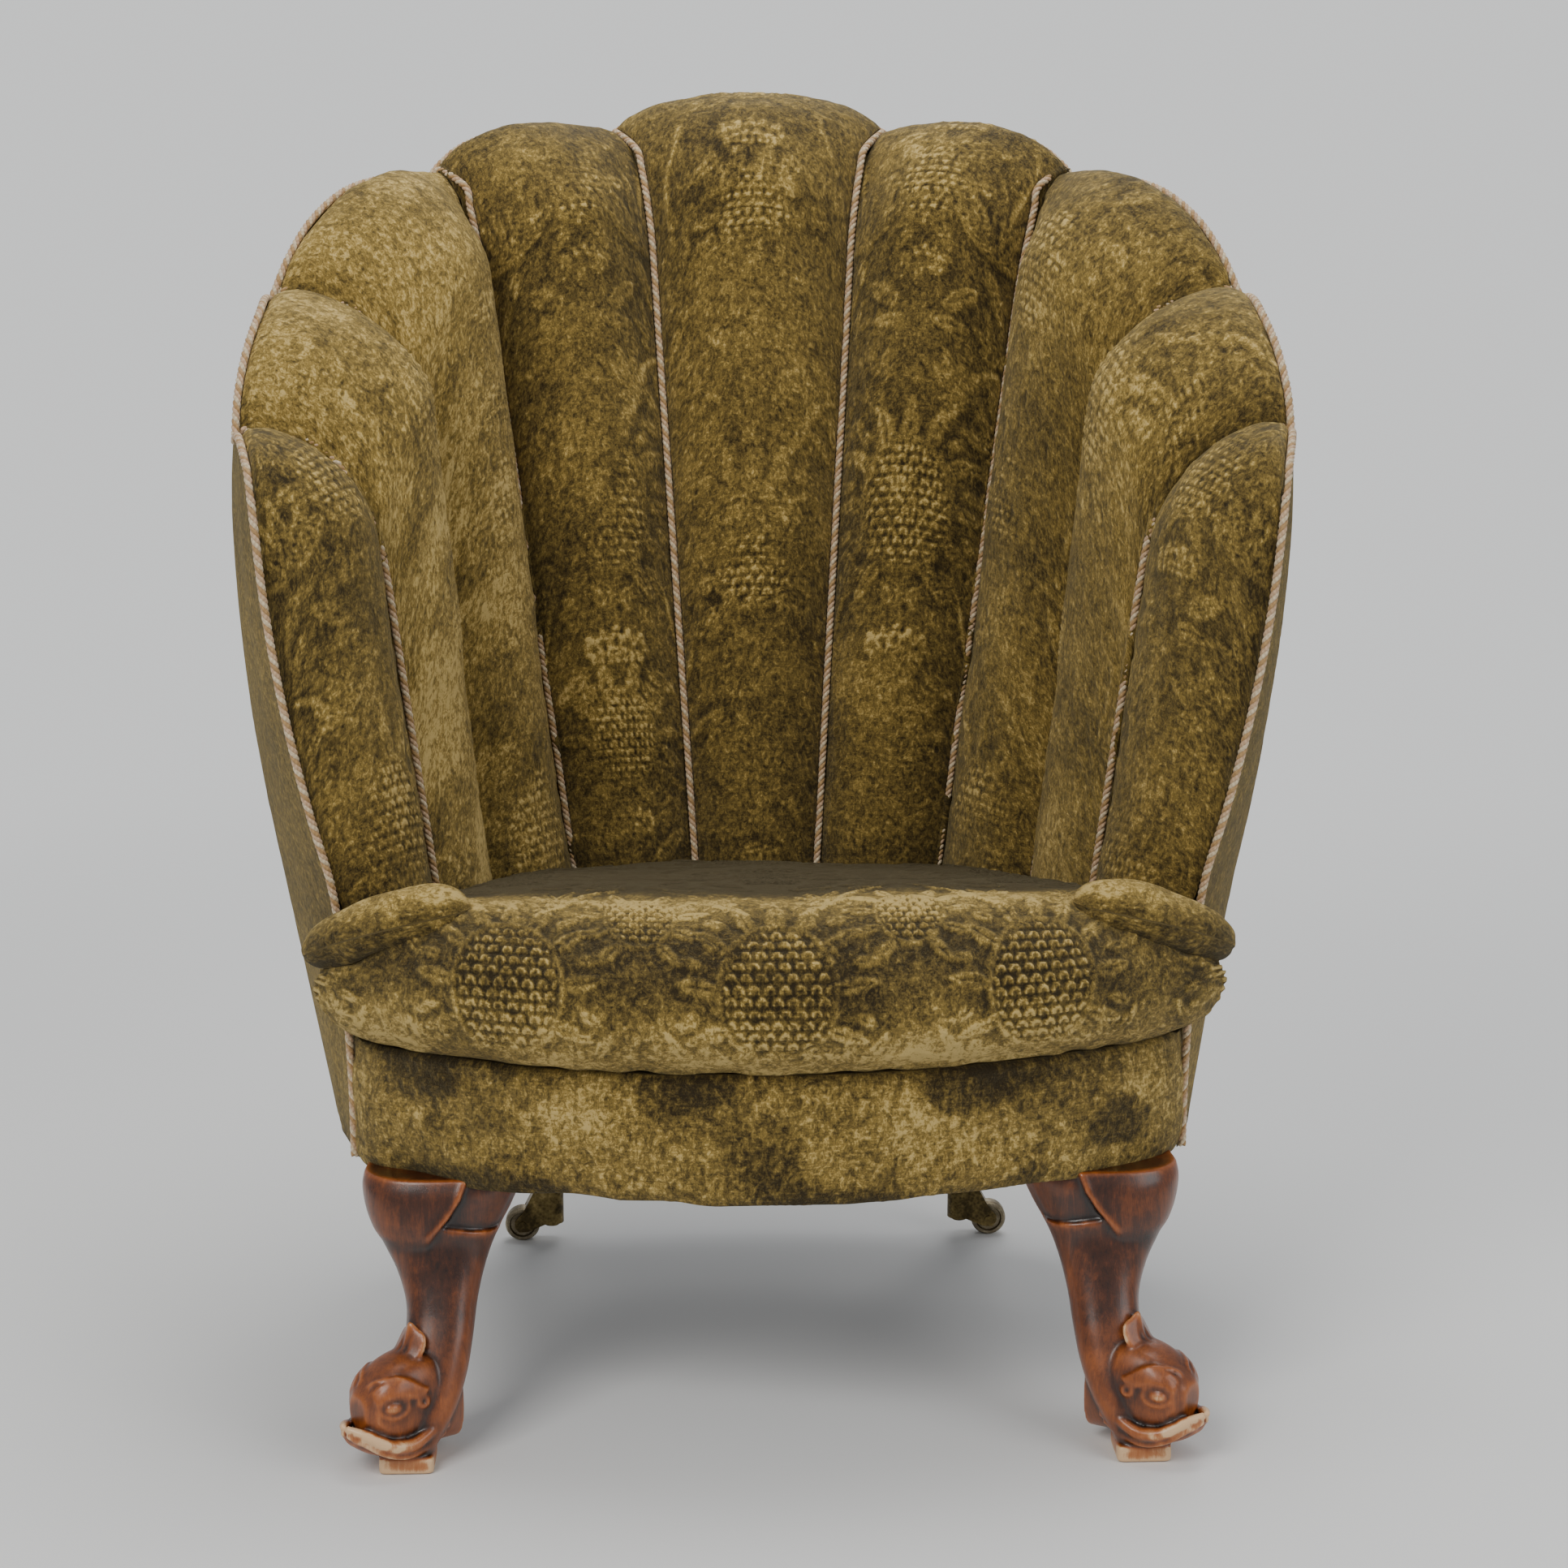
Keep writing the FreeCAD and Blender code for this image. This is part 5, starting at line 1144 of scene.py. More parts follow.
def arm_pad(flip):
    """A short stuffed roll: fat in the middle, closed and pleated at both ends, its outer end drooping over the
    seat's corner."""
    length, sides = 121, 96
    t = np.sin(np.linspace(-np.pi / 2, np.pi / 2, length)) * 0.5 + 0.5
    side = 2 * t - 1
    path = np.stack([296 + 62 * side, -252 + 22 * side * side + 10 * side, 423 - 44 * t ** 2], -1)
    fat = (1 - np.abs(side) ** 4) ** 0.5
    seed = 110 + (4 if flip else 0)
    angle = np.linspace(0, 2 * np.pi, sides + 1)[:-1]
    grid = tube_points(path, 24 * np.maximum(fat, 0.02), sides, 0.93, np.array([0, 0, 1.0]))
    out = unit(grid - path[:, None])
    along = np.broadcast_to((side * 59)[:, None], (length, sides))
    ends = ramp(np.abs(side), 0.55, 0.95)[:, None]
    pleat = hills(angle[None] * 24 + 7, along * 0.25, 9.5, seed) * 1.7 * ends * (fat[:, None] > 0.1)
    around, about = np.cos(angle)[None] * 40, np.sin(angle)[None] * 40
    swell = hills(around + 50 + along, about + along * 0.7, 26, seed + 1) * 1.6
    grid = grid + out * (pleat + swell * fat[:, None])[..., None]
    points, quads, tris = closed_tube(grid)
    hand = "left" if flip else "right"
    mesh = mesh_of("velvet_arm_pad_" + hand, points * MIRROR if flip else points, quads, tris)
    outward(mesh)

    def fill(values, rest=0.0):
        """Values of the roll, then a resting value for its two ends."""
        return np.concatenate([values.ravel(), np.full(2, rest)])

    turn = np.broadcast_to(angle[None] * 24, along.shape)
    set_cloth(mesh, np.append((along + 512).ravel(), (0, 0)), fill(turn))
    emboss = pressed(along + 60, turn + 40) * worn(along, turn, seed + 2)
    set_values(mesh, "motif_and_painted_light", fill((emboss - 0.3) * 0.3 * fat[:, None]))
    # painted shade on the underside and in the pleats at the ends
    under = ramp(-out[..., 2], 0.1, 0.9) * 0.4
    set_values(mesh, "painted_shade_and_blotch", fill(under + 0.2 * ends * ramp(-pleat, 0.2, 1.2), 0.3))
    # painted light: paler where the roll faces up
    set_values(mesh, "wear_and_painted_light", fill(0.34 * ramp(out[..., 2], 0.0, 0.9)))
    padded_piece("velvet_arm_pad_" + hand, mesh, seat_velvet, "arm_pad_" + hand)


seat_piece()
border_piece()
arm_pad(False)
arm_pad(True)


# Outside covers: one sheet behind the back and one round each arm, drawn tight from the edge to the rail

# degrees between two sheets, and beyond the arm's front to the cord
COVER_GAP, COVER_LAP = 0.05, 0.2

def outside_cover(name, low_a, high_a, node, flip=False):
    """A sheet on the shell between two bearings, with a little slack, drawn in at its ends and gathered at its
    lower edge, and its plain inner side."""
    marks = sorted([low_a, high_a] + [a for a in np.concatenate([VALLEY_A, -VALLEY_A]) if low_a < a < high_a])
    bearings = np.concatenate([np.linspace(a, b, max(6, int((b - a) / 0.42)), endpoint=False)
                               for a, b in zip(marks, marks[1:])] + [[high_a]])
    rows = 112
    top = cover_top(bearings)
    share = np.linspace(0, 1, rows)[:, None]
    z = BASE + 0.5 + (top - BASE - 0.5) * share
    outer = ring(bearings[None], z, 0.0)
    inner = ring(bearings[None], z, COVER)
    out = unit(outer - ring(bearings[None], z, 50.0))
    across = np.broadcast_to(np.radians(bearings)[None] * 425, z.shape)
    end_gap = np.minimum(across - across[:, :1], across[:, -1:] - across)
    slack = hills(across, z, 120, 131) * 1.4 + hills(across * 1.6, z * 0.35, 48, 132) * 0.8
    slack = slack - 1.6 * np.exp(-end_gap / 4.0) + hills(across, z * 0.2, 19, 133) * np.exp(-(z - BASE) / 26)
    slack = slack * ramp(top - z, 0, 30) * 0.85
    emboss = pressed(across, z - 280) * worn(across + 140, z, 134) * 0.55
    outer = outer + out * (slack + (emboss - 0.2) * 0.7 - 0.7)[..., None]
    grid = np.concatenate([outer, inner[::-1]], 0)
    count = len(bearings)
    total = grid.shape[0]
    index = np.arange(total * count).reshape(total, count)
    k = np.arange(rows - 1)
    inside = total - 1 - k
    quads = [grid_quads(total, count, wrap_rows=True),
             np.stack([index[k, 0], index[inside, 0], index[inside - 1, 0], index[k + 1, 0]], -1),
             np.stack([index[k, -1], index[k + 1, -1], index[inside - 1, -1], index[inside, -1]], -1)]
    mesh = mesh_of(name, grid * MIRROR if flip else grid, np.vstack(quads))
    outward(mesh)

    def fill(values):
        """Values of the outer side, and the same on the inner one."""
        return np.concatenate([values, values[::-1]], 0).ravel()

    set_cloth(mesh, fill(across) + (900 if flip else 0), fill(z))
    set_values(mesh, "motif_and_painted_light", fill(pile_tone(emboss, 0.12, 0.16, 0.12)))
    # painted shade at the ends, along the foot and under the top edge
    shade = 0.22 * np.exp(-end_gap / 5) + 0.2 * np.exp(-(z - BASE) / 12) + 0.12 * np.exp(-(top - z) / 8)
    set_values(mesh, "painted_shade_and_blotch", fill(shade))
    set_values(mesh, "wear_and_painted_light", fill(0.1 * ramp(hills(across, z, 150, 135), 0, 0.8)))
    piece(name, mesh, outside_velvet, node)


outside_cover("cover_back", -VALLEY_A[1] + COVER_GAP, VALLEY_A[1] - COVER_GAP, "outside_back")
for hand, flip in (("right", False), ("left", True)):
    outside_cover("cover_arm_" + hand, VALLEY_A[1] + COVER_GAP, VALLEY_A[4] + COVER_LAP,
                  "outside_cover_" + hand, flip)


# Front legs: a cabriole knee with a shoulder scroll, running down into a dolphin's head on a square pad

FOOT_X, FOOT_Y, KNEE_Z = 283.0, -316.0, 213.0
LEG_VOXEL = 0.0013
SCROLL_Z, SCROLL_X = [150, 160, 172, 184, 198, 213], [276, 269, 261, 250.5, 241.7, 236]
# height share, x and y from the foot, half width, half depth
LEG_SHAPE = np.array([
    (0.055, 0, 0, 20, 20), (0.10, -2, 3, 23, 22), (0.20, -9, 11, 28, 25), (0.31, -17, 22, 28, 26),
    (0.43, -23, 34, 26.5, 26), (0.54, -25, 47, 27.5, 27.5), (0.65, -24, 61, 34, 32), (0.75, -22, 73, 44, 38),
    (0.85, -23, 82, 55, 45), (0.94, -25, 89, 61, 49), (1.00, -25, 92, 59, 47)])
# distance along the head from its root, low and high edge, half width
HEAD_SHAPE = np.array([(-14, 10, 70, 17), (2, 12, 84, 24), (20, 13, 90, 27), (40, 15, 88, 27), (56, 20, 81, 25),
                       (66, 28, 72, 20), (73, 40, 63, 11)], float)
JAW_SHAPE = np.array([(26, 10, 32, 24), (50, 12, 32, 22), (68, 18, 35, 15), (81, 27, 38, 8)], float)
UPPER_LIP = [(6, 24, 31), (22, 28, 33), (42, 29, 26), (60, 25, 28), (75, 14, 37), (85, 2, 42)]
LOWER_LIP = [(10, 25, 26), (30, 28, 21), (46, 27, 18), (62, 22, 22), (76, 13, 31), (85, 2, 36)]
HEAD_ROOT = np.array([262.0, -290.0, 0.0])
HEAD_WAY, HEAD_SIDE = np.array([0.777, -0.629, 0.0]), np.array([0.629, 0.777, 0.0])


def between(table, share):
    """Rows of a table read at new places along its first column, on a smooth curve."""
    fine, _ = smooth_path(table, 0.5)
    order = np.argsort(fine[:, 0])
    return np.stack([np.interp(share, fine[order, 0], fine[order, k]) for k in range(table.shape[1])], -1)


def squircle(count, power):
    """Unit outline whose coordinates' powers add to one."""
    angle = np.linspace(0, 2 * np.pi, count, endpoint=False)
    c, s = np.cos(angle), np.sin(angle)
    reach = (np.abs(c) ** power + np.abs(s) ** power) ** (-1 / power)
    return c * reach, s * reach


def ledge_height(x):
    """The ledge under the knee rises a little towards the leg's outer side."""
    return 172 + 5 * np.clip((x - 229) / 30, -1, 1)


def leg_stem():
    """Level ovals up the leg; its outer shoulder stands proud of a scrolled line, with a ledge under the knee."""
    share = np.linspace(0.055, 1.0, 230)
    rows = between(LEG_SHAPE, share)
    across, along = squircle(220, 2.7)
    z = share * KNEE_Z
    x = FOOT_X + rows[:, 1, None] + rows[:, 3, None] * across
    y = FOOT_Y + rows[:, 2, None] + rows[:, 4, None] * along
    out_x, out_y = across / rows[:, 3, None], along / rows[:, 4, None]
    size = np.hypot(out_x, out_y)
    out_x, out_y = out_x / size, out_y / size
    front = ramp(-out_y, 0.0, 0.5)
    line = np.interp(z, SCROLL_Z, SCROLL_X)[:, None]
    proud = 2.5 * ramp(x, line - 1.6, line + 1.6) * ramp(z, 158, 171)[:, None] * front
    bead = 1.2 * np.exp(-((x - line - 3) / 2.6) ** 2) * ramp(z, 160, 172)[:, None] * front
    panel = ramp(z[:, None] - ledge_height(x), -0.8, 1.0) * ramp(z, 224, 178)[:, None] * ramp(line - x, -1.5, 1.5)
    push = proud + bead - 3.6 * panel * front
    grid = np.stack([x + out_x * push, y + out_y * push, np.broadcast_to(z[:, None], x.shape)], -1)
    return closed_tube(grid)


def head_points(local):
    """Places along, across and above the head, in the chair's frame."""
    local = np.asarray(local, float)
    return HEAD_ROOT + local @ np.array([HEAD_WAY, HEAD_SIDE, (0.0, 0.0, 1.0)])


def head_block(table):
    """Upright rounded sections along the head."""
    at = np.linspace(table[0, 0], table[-1, 0], 60)
    low, high, half = between(table, at)[:, 1:].T[..., None]
    c, s = squircle(80, 2.5)
    level = (low + high) / 2 + (high - low) / 2 * s
    grid = np.stack([np.broadcast_to(at[:, None], (60, 80)), half * c, level], -1)
    return closed_tube(head_points(grid))


def roll(points, thick, ends=0.35):
    """Carved roll along a path on the head, thinner at its ends."""
    path, at = smooth_path(np.asarray(points, float), 1.2)
    t = at / at[-1]
    swell = np.sqrt(np.clip(np.sin(np.pi * np.clip(t, 0.03, 0.97)), 0, 1))
    return closed_tube(head_points(tube_points(path, thick * (ends + (1 - ends) * swell), 16)))


def on_cheek(points, side, proud=0.0):
    """Places given along the head and in height, laid on its rounded side."""
    points = np.asarray(points, float)
    low, high, half = between(HEAD_SHAPE, points[:, 0])[:, 1:].T
    level = (points[:, 1] - (low + high) / 2) / ((high - low) / 2)
    out = half * (1 - np.clip(np.abs(level), 0, 0.985) ** 2.5) ** 0.4 + proud
    return np.stack([points[:, 0], out * side, points[:, 1]], -1)


def eye_ball(side):
    """An egg sunk in the cheek."""
    u, v = np.meshgrid(np.linspace(0.001, np.pi - 0.001, 24), np.linspace(0, 2 * np.pi, 40, endpoint=False),
                       indexing="ij")
    a, b, z = on_cheek([(55, 57)], side, -2.2)[0]
    egg = [a + 8 * np.cos(u), b + 5.0 * np.sin(u) * np.cos(v) * side, z + 5.2 * np.sin(u) * np.sin(v)]
    return closed_tube(head_points(np.stack(egg, -1)))


def brow_strand(k):
    """Strand k of the brow: an arc over the eye, tighter in front, that ends behind it."""
    off = 12.4 + 3.0 * k
    bow = np.radians([12 + 7 * k, 40 + 3 * k, 70, 105, 138 + 3 * k])
    wide = np.where(np.cos(bow) > 0, 14.5 + 1.1 * k, off + 3)
    arc = np.stack([53 + wide * np.cos(bow), 56 + off * 0.9 * np.sin(bow)], -1)
    return np.vstack([arc, [(31 - 1.2 * k, 60 + 1.5 * k)]])


def dolphin_head():
    """Smooth mass with a beak of two lips, an eye under fine brow strands that curl at the back, and a small
    leaf of strands that runs up the neck; alike on both cheeks."""
    parts = [head_block(HEAD_SHAPE), head_block(JAW_SHAPE)]
    turn = np.linspace(0, 2 * np.pi, 26)
    lid = np.stack([55 + 10.8 * np.cos(turn), 57 + 7.6 * np.sin(turn)], -1)
    curl = [(30 + (7.0 - 5.5 * t) * math.cos(1.2 - 5.4 * t), 58 + (6.5 - 5 * t) * math.sin(1.2 - 5.4 * t))
            for t in np.linspace(0, 1, 14)]
    for side in (-1, 1):
        for lip, thick in ((UPPER_LIP, 5.2), (LOWER_LIP, 3.6)):
            parts.append(roll(np.array(lip) * (1, side, 1), thick))
        parts.append(eye_ball(side))
        parts.append(roll(on_cheek(lid, side, 0.2), 1.5, 0.9))
        parts.append(roll(on_cheek([(64, 62), (67, 55), (66, 47), (62, 41)], side, -0.1), 1.3))
        parts += [roll(on_cheek(brow_strand(k), side, 1.0), 1.7, 0.5) for k in range(5)]
        parts.append(roll(on_cheek(curl, side, 0.4), 2.2, 0.7))
        for k in range(4):
            leaf = np.array([(46 - 3 * k, 2 + 2 * k, 84), (34 - 2 * k, 5 + 2.6 * k, 86.5),
                             (27.5 - 1.6 * k, 6 + 2.7 * k, 92), (24 - 1.6 * k, 4 + 2.6 * k, 101),
                             (22.5 - k, 1 + 1.6 * k, 111 - 2 * k)])
            parts.append(roll(leaf * (1, side, 1), 2.3))
    parts.append(roll([(48, 0, 84), (32, 0, 88), (26, 0, 97), (24, 0, 111)], 2.6))
    return parts


def square_block(x, y, z, half, sides):
    """Level rounded squares of changing half width, one above another."""
    z, half = np.array(z, float), np.array(half, float)[:, None]
    c, s = squircle(sides, 16)
    return closed_tube(np.stack([x + half * c, y + half * s, np.broadcast_to(z[:, None], (len(z), sides))], -1))


def leg_pad():
    """Square block under the head, its edges a little rounded."""
    return square_block(FOOT_X, FOOT_Y, [0.0, 0.7, 1.6, 4, 8, 11.6, 12.6, 13.2, 14.5],
                        [18.5, 20.2, 21, 21, 21, 21, 20.2, 18.5, 12], 96)


def leg_post():
    """Square post that stands in the corner of the seat frame."""
    return square_block(286, -180, [196.0, 212, 230, 260, 285, 294.5, 295],
                        [22.0, 22.5, 22.5, 22.5, 22.5, 22.3, 21.5], 64)


def carve(parts, voxel, passes):
    """One skin round overlapping closed forms: voxel remesh, then its points drawn to their neighbours' mean."""
    points, quads, tris = merged(parts)
    rough = mesh_of("leg_forms", points, quads, tris)
    outward(rough)
    item = bpy.data.objects.new("leg_forms", rough)
    bpy.context.scene.collection.objects.link(item)
    remesh = item.modifiers.new("skin", "REMESH")
    remesh.mode, remesh.voxel_size, remesh.use_smooth_shade = "VOXEL", voxel, True
    skin = bpy.data.meshes.new_from_object(item.evaluated_get(bpy.context.evaluated_depsgraph_get()))
    bpy.data.objects.remove(item)
    bpy.data.meshes.remove(rough)
    count = len(skin.vertices)
    place = np.empty(count * 3)
    skin.vertices.foreach_get("co", place)
    place = place.reshape(-1, 3)
    edges = np.empty(len(skin.edges) * 2, np.int32)
    skin.edges.foreach_get("vertices", edges)
    a, b = edges.reshape(-1, 2).T

    def mean(values):
        """Mean of each point's neighbours along the edges."""
        total = np.stack([np.bincount(a, values[b, k], count) + np.bincount(b, values[a, k], count)
                          for k in range(values.shape[1])], -1)
        return total / np.maximum(np.bincount(a, minlength=count) + np.bincount(b, minlength=count), 1)[:, None]

    for _ in range(passes):
        place = place * 0.4 + mean(place) * 0.6
    skin.vertices.foreach_set("co", place.ravel())
    skin.update()
    normal = np.empty(count * 3)
    skin.vertices.foreach_get("normal", normal)
    normal = normal.reshape(-1, 3)
    broad = place
    for _ in range(14):
        broad = mean(broad)
    bend = ((place - broad) * normal).sum(-1, keepdims=True)
    for _ in range(2):
        bend = mean(bend)
    return skin, place, bend[:, 0] / voxel


def leg_material():
    """Old polished wood: dark in the carving, red-brown on the rounds, rubbed pale on its proudest edges."""
    material, tree, base = nodes_of("carved_mahogany")
    spot = spot_of(tree)
    along = mapped(tree, spot, Scale=(9.0, 9.0, 1.0))
    grain = noise(tree, along, 26.0, 7.0, 0.66, 0.9)
    pores = noise(tree, along, 170.0, 3.0, 0.6)
    patch = noise(tree, spot, 24.0, 6.0, 0.68)
    worn_part = value_of(tree, "worn")
    tone = sums(tree, "MULTIPLY_ADD", grain, 0.5, 0.1)
    for value, gain, level in ((patch, 0.75, -0.34), (value_of(tree, "bend"), 0.62, 0.0), (pores, 0.2, -0.1)):
        tone = added(tree, tone, value, gain, level)
    tone = sums(tree, "ADD", tone, worn_part, clamp=True)
    rough = added(tree, sums(tree, "MULTIPLY_ADD", patch, 0.35, 0.2), worn_part, 0.3)
    plug(tree, base, {"Base Color": colours(tree, tone, CARVED_STOPS), "Roughness": rough,
                      "Coat Weight": 0.35, "Coat Roughness": 0.22})
    relief(tree, base, added(tree, sums(tree, "MULTIPLY", grain, 0.5), pores, 0.4), 0.35, 0.0006)
    return material


def front_legs():
    """The right leg is carved once; the left is its mirror image."""
    skin, place, bend = carve([leg_stem(), leg_pad(), leg_post()] + dolphin_head(), LEG_VOXEL, 3)
    mm = place * 1000
    local = mm - HEAD_ROOT
    a, b, z = local @ HEAD_WAY, local @ HEAD_SIDE, mm[:, 2]
    lips = np.exp(-((z - np.interp(a, [16, 40, 60, 85], [31, 24, 26, 40])) / 6.5) ** 2) * ramp(a, 34, 62)
    x, y = mm[:, 0], mm[:, 1]
    pad_edge = ramp(z, 16, 11) * ramp(np.maximum(np.abs(x - FOOT_X), np.abs(y - FOOT_Y)), 17, 21) * 0.35
    ledge = np.exp(-((z - ledge_height(x)) / 2.4) ** 2) * ramp(262 - x, 0, 6) * ramp(-y, 200, 240)
    spread = hills(a * 1.3 + z, b + z * 0.7, 9, 141)
    worn_part = 0.55 * lips * ramp(spread, -0.7, 0.5) + pad_edge + 0.35 * ledge * ramp(spread, -0.3, 0.6)
    worn_part = worn_part - 0.2 * ramp(z, 60, 120) * ramp(hills(a, z, 45, 142), -0.2, 0.7)
    quads = np.empty(len(skin.loops), np.int32)
    skin.loops.foreach_get("vertex_index", quads)
    quads = quads.reshape(-1, 4)
    for hand, sign in (("right", 1), ("left", -1)):
        points = mm * np.array([sign, 1, 1])
        mesh = mesh_of("dolphin_leg_" + hand, points, quads if sign > 0 else quads[:, ::-1])
        set_values(mesh, "bend", np.clip(bend, -0.9, 0.9))
        set_values(mesh, "worn", worn_part)
        piece("dolphin_leg_" + hand, mesh, carved_wood, "front_leg_" + hand)


CARVED_STOPS = [(0.0, srgb(26, 12, 5)), (0.22, srgb(66, 31, 11)), (0.45, srgb(118, 60, 20)),
                (0.66, srgb(156, 84, 31)), (0.84, srgb(178, 116, 68)), (1.0, srgb(216, 178, 134))]
carved_wood = leg_material()
front_legs()


# Finishes of the parts that come from the frame as they are

def wood(name, stops, scale, stretch, rough, coat=0.0):
    """Long grain with growth rings, fine pores and a few darker streaks."""
    material, tree, base = nodes_of(name)
    spot = spot_of(tree)
    along = mapped(tree, spot, Scale=stretch)
    rings = noise(tree, along, scale, 6.0, 0.6, 1.4)
    fibre = noise(tree, along, scale * 9, 3.0, 0.7)
    dirt = noise(tree, spot, 14.0, 5.0, 0.7)
    tone = added(tree, sums(tree, "MULTIPLY_ADD", rings, 0.9, -0.1), fibre, 0.5, -0.25)
    tone = added(tree, tone, dirt, 0.5, -0.2, clamp=True)
    plug(tree, base, {"Base Color": colours(tree, tone, stops), "Coat Weight": coat, "Coat Roughness": 0.25,
                      "Roughness": sums(tree, "MULTIPLY_ADD", dirt, 0.3, rough)})
    relief(tree, base, sums(tree, "ADD", rings, fibre), 0.3, 0.0005)
    return material


def metal(name, stops, rough, scale=60.0):
    """Tarnish in clouds and spots over rubbed metal."""
    material, tree, base = nodes_of(name)
    spot = spot_of(tree)
    cloud = noise(tree, spot, scale, 7.0, 0.68)
    spots = add_node(tree, "TexVoronoi", {"Vector": spot, "Scale": scale * 6}).outputs["Distance"]
    tone = added(tree, sums(tree, "MULTIPLY_ADD", cloud, 1.5, -0.3), spots, 0.3, -0.15, clamp=True)
    plug(tree, base, {"Base Color": colours(tree, tone, stops), "Metallic": 0.92,
                      "Roughness": sums(tree, "MULTIPLY_ADD", tone, -0.2, rough)})
    relief(tree, base, cloud, 0.3, 0.0004)
    return material


def weave(name, dark, light, pitch, tilt=0.0):
    """Plain weave: two crossed sets of round threads, uneven in thickness and tone."""
    material, tree, base = nodes_of(name)
    flat = mapped(tree, spot_of(tree), Rotation=(tilt, 0.0, 0.0))
    parts = add_node(tree, "SeparateXYZ", {"Vector": flat}).outputs
    waves = [wave(tree, sums(tree, "MULTIPLY", parts[axis], 2 * math.pi / pitch)) for axis in (0, 1)]
    thread = sums(tree, "MAXIMUM", *waves)
    slub = noise(tree, flat, 220.0, 4.0, 0.7)
    tone = added(tree, sums(tree, "MULTIPLY", thread, 0.6), slub, 0.8, -0.25, clamp=True)
    lightest = tuple(min(1, c * 1.35) for c in light[:3]) + (1,)
    plug(tree, base, {"Base Color": colours(tree, tone, [(0.0, dark), (0.55, light), (1.0, lightest)]),
                      "Roughness": 0.9})
    relief(tree, base, thread, 0.6, 0.0008)
    return material


def dress(material, *names):
    """Gives a finish to nodes of the frame, both hands where a node comes in a pair."""
    for name in names:
        for full in (name, name + "_left", name + "_right"):
            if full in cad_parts:
                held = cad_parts[full].data.materials
                held.clear()
                held.append(material)


RED_STOPS = [(0.0, srgb(30, 15, 9)), (0.35, srgb(64, 31, 18)), (0.65, srgb(100, 52, 29)), (1.0, srgb(150, 92, 54))]
PALE_STOPS = [(0.0, srgb(112, 82, 52)), (0.4, srgb(158, 124, 84)), (0.7, srgb(186, 152, 108)),
              (1.0, srgb(208, 178, 136))]
BRASS_STOPS = [(0.0, srgb(38, 33, 24)), (0.35, srgb(82, 70, 44)), (0.65, srgb(134, 116, 72)),
               (1.0, srgb(190, 168, 112))]
TREAD_STOPS = [(0.0, srgb(86, 78, 62)), (0.5, srgb(140, 128, 104)), (1.0, srgb(196, 186, 160))]
STEEL_STOPS = [(0.0, srgb(70, 66, 60)), (1.0, srgb(170, 166, 158))]
WIRE_STOPS = [(0.0, srgb(66, 44, 34)), (1.0, srgb(176, 128, 96))]
JUTE_DARK, JUTE_LIGHT = srgb(92, 70, 44), srgb(160, 130, 90)
dress(wood("rear_mahogany", RED_STOPS, 20.0, (8.0, 8.0, 1.0), 0.32, 0.3), "rear_leg")
dress(wood("beech_upright", PALE_STOPS, 16.0, (7.0, 7.0, 1.0), 0.6), "arm_post", "back_stiles", "side_stiles")
dress(wood("beech_long", PALE_STOPS, 16.0, (1.0, 6.0, 9.0), 0.6),
      "tacking_rails", "crest_rail", "front_rail", "back_rail", "corner_blocks")
dress(wood("beech_side", PALE_STOPS, 16.0, (6.0, 1.0, 9.0), 0.6), "arm_rail", "side_rail")
dress(metal("tarnished_brass", BRASS_STOPS, 0.5), "castor_plate", "castor_pivot", "castor_horn", "castor_axle")
dress(metal("worn_wheel", TREAD_STOPS, 0.55, 90.0), "castor_wheel")
dress(metal("old_screw_steel", STEEL_STOPS, 0.5), "castor_screws")
dress(metal("coppered_wire", WIRE_STOPS, 0.45), "seat_springs")
dress(weave("jute_back", JUTE_DARK, JUTE_LIGHT, 0.0031, math.pi / 2), "back_hessian")
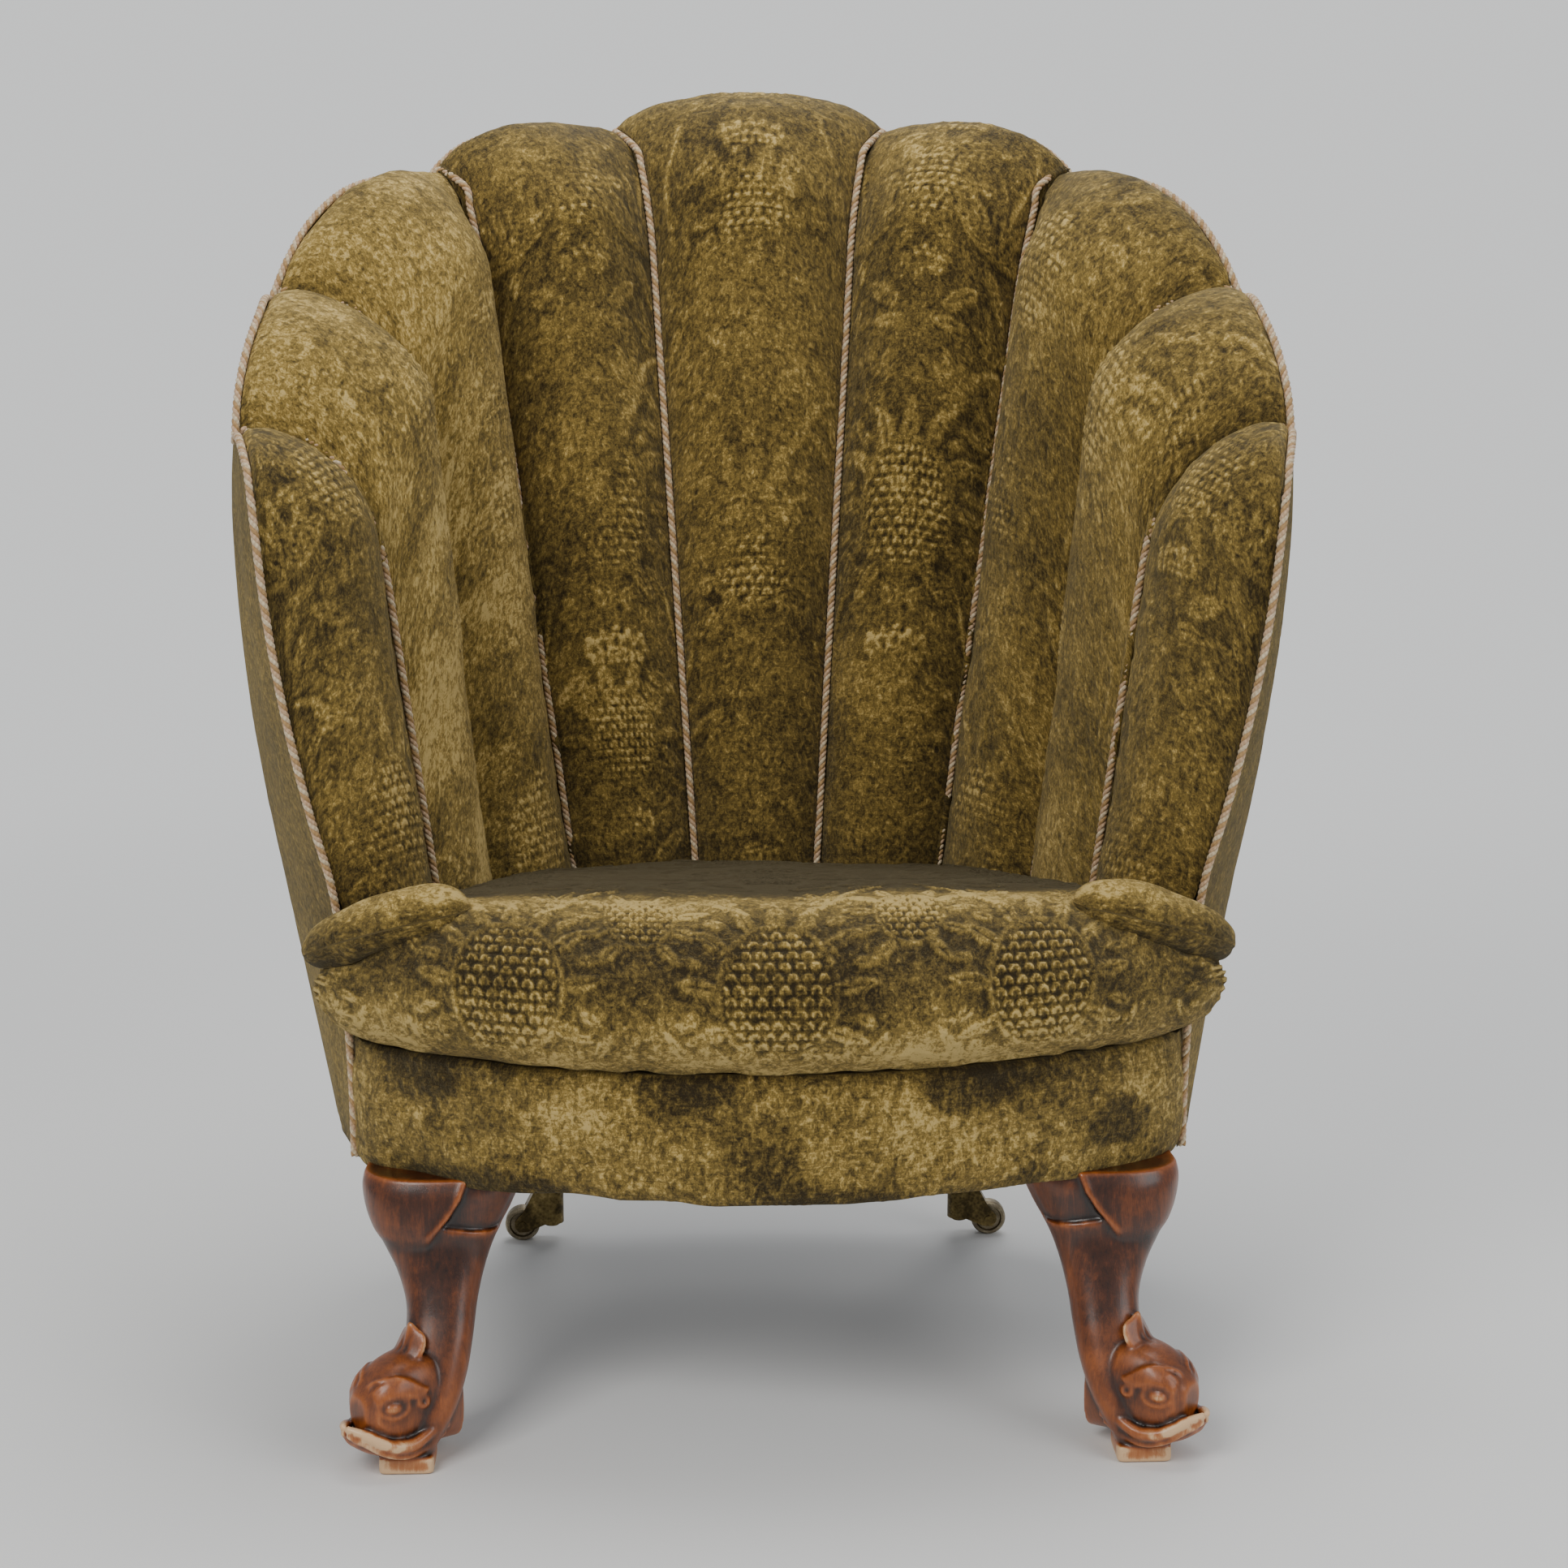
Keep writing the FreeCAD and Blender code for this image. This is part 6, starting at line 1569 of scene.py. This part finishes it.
dress(weave("jute_deck", JUTE_DARK, JUTE_LIGHT, 0.0031), "spring_hessian")
dress(weave("jute_web", srgb(98, 78, 52), srgb(168, 140, 100), 0.0024), "seat_webbing")
dress(weave("black_lining", srgb(14, 13, 13), srgb(42, 40, 38), 0.0016), "bottom_cloth")


def hair_material():
    """Dark tangled curls."""
    material, tree, base = nodes_of("curled_hair")
    curl = noise(tree, spot_of(tree), 160.0, 6.0, 0.75, 4.0)
    stops = [(0.3, srgb(18, 13, 10)), (0.55, srgb(52, 40, 30)), (0.75, srgb(98, 80, 60))]
    plug(tree, base, {"Base Color": colours(tree, curl, stops), "Roughness": 0.85})
    relief(tree, base, curl, 0.9, 0.002)
    return material


def horsehair():
    """Block of curled hair: the outline of the frame's stuffing in plan, rounded at its top and bottom edges,
    matted and a little ragged."""
    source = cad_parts["seat_stuffing"].data
    place = np.empty(len(source.vertices) * 3)
    source.vertices.foreach_get("co", place)
    place = place.reshape(-1, 3) * 1000
    low, high = place.min(0), place.max(0)
    middle = (low + high) / 2
    count, rows = 240, 26
    turn = np.linspace(0, 2 * np.pi, count, endpoint=False)
    way = np.stack([np.sin(turn), -np.cos(turn)], -1)
    flat = place[:, :2] - middle[:2]
    reach = np.minimum((way @ flat.T).max(1), 400)
    cosine = way @ way.T
    hull = np.where(cosine > 0.3, reach / np.clip(cosine, 1e-3, 1), np.inf).min(1)
    level = np.linspace(-1, 1, rows)
    close = (1 - np.abs(level) ** 6) ** 0.5 * 0.06 + 0.93
    close[0], close[-1] = 0.86, 0.86
    z = middle[2] + (high[2] - low[2]) / 2 * level
    grid = np.concatenate([hull[None, :, None] * way[None] * close[:, None, None] + middle[:2],
                           np.broadcast_to(z[:, None, None], (rows, count, 1))], -1)
    ragged = hills(turn[None] * 300, z[:, None] * 3, 18, 151) * 1.4
    grid[..., :2] -= np.abs(ragged)[..., None] * way[None]
    mesh = mesh_of("horsehair_stuffing", *closed_tube(grid))
    outward(mesh)
    padded_piece("horsehair_stuffing", mesh, hair_material(), "seat_stuffing")


horsehair()
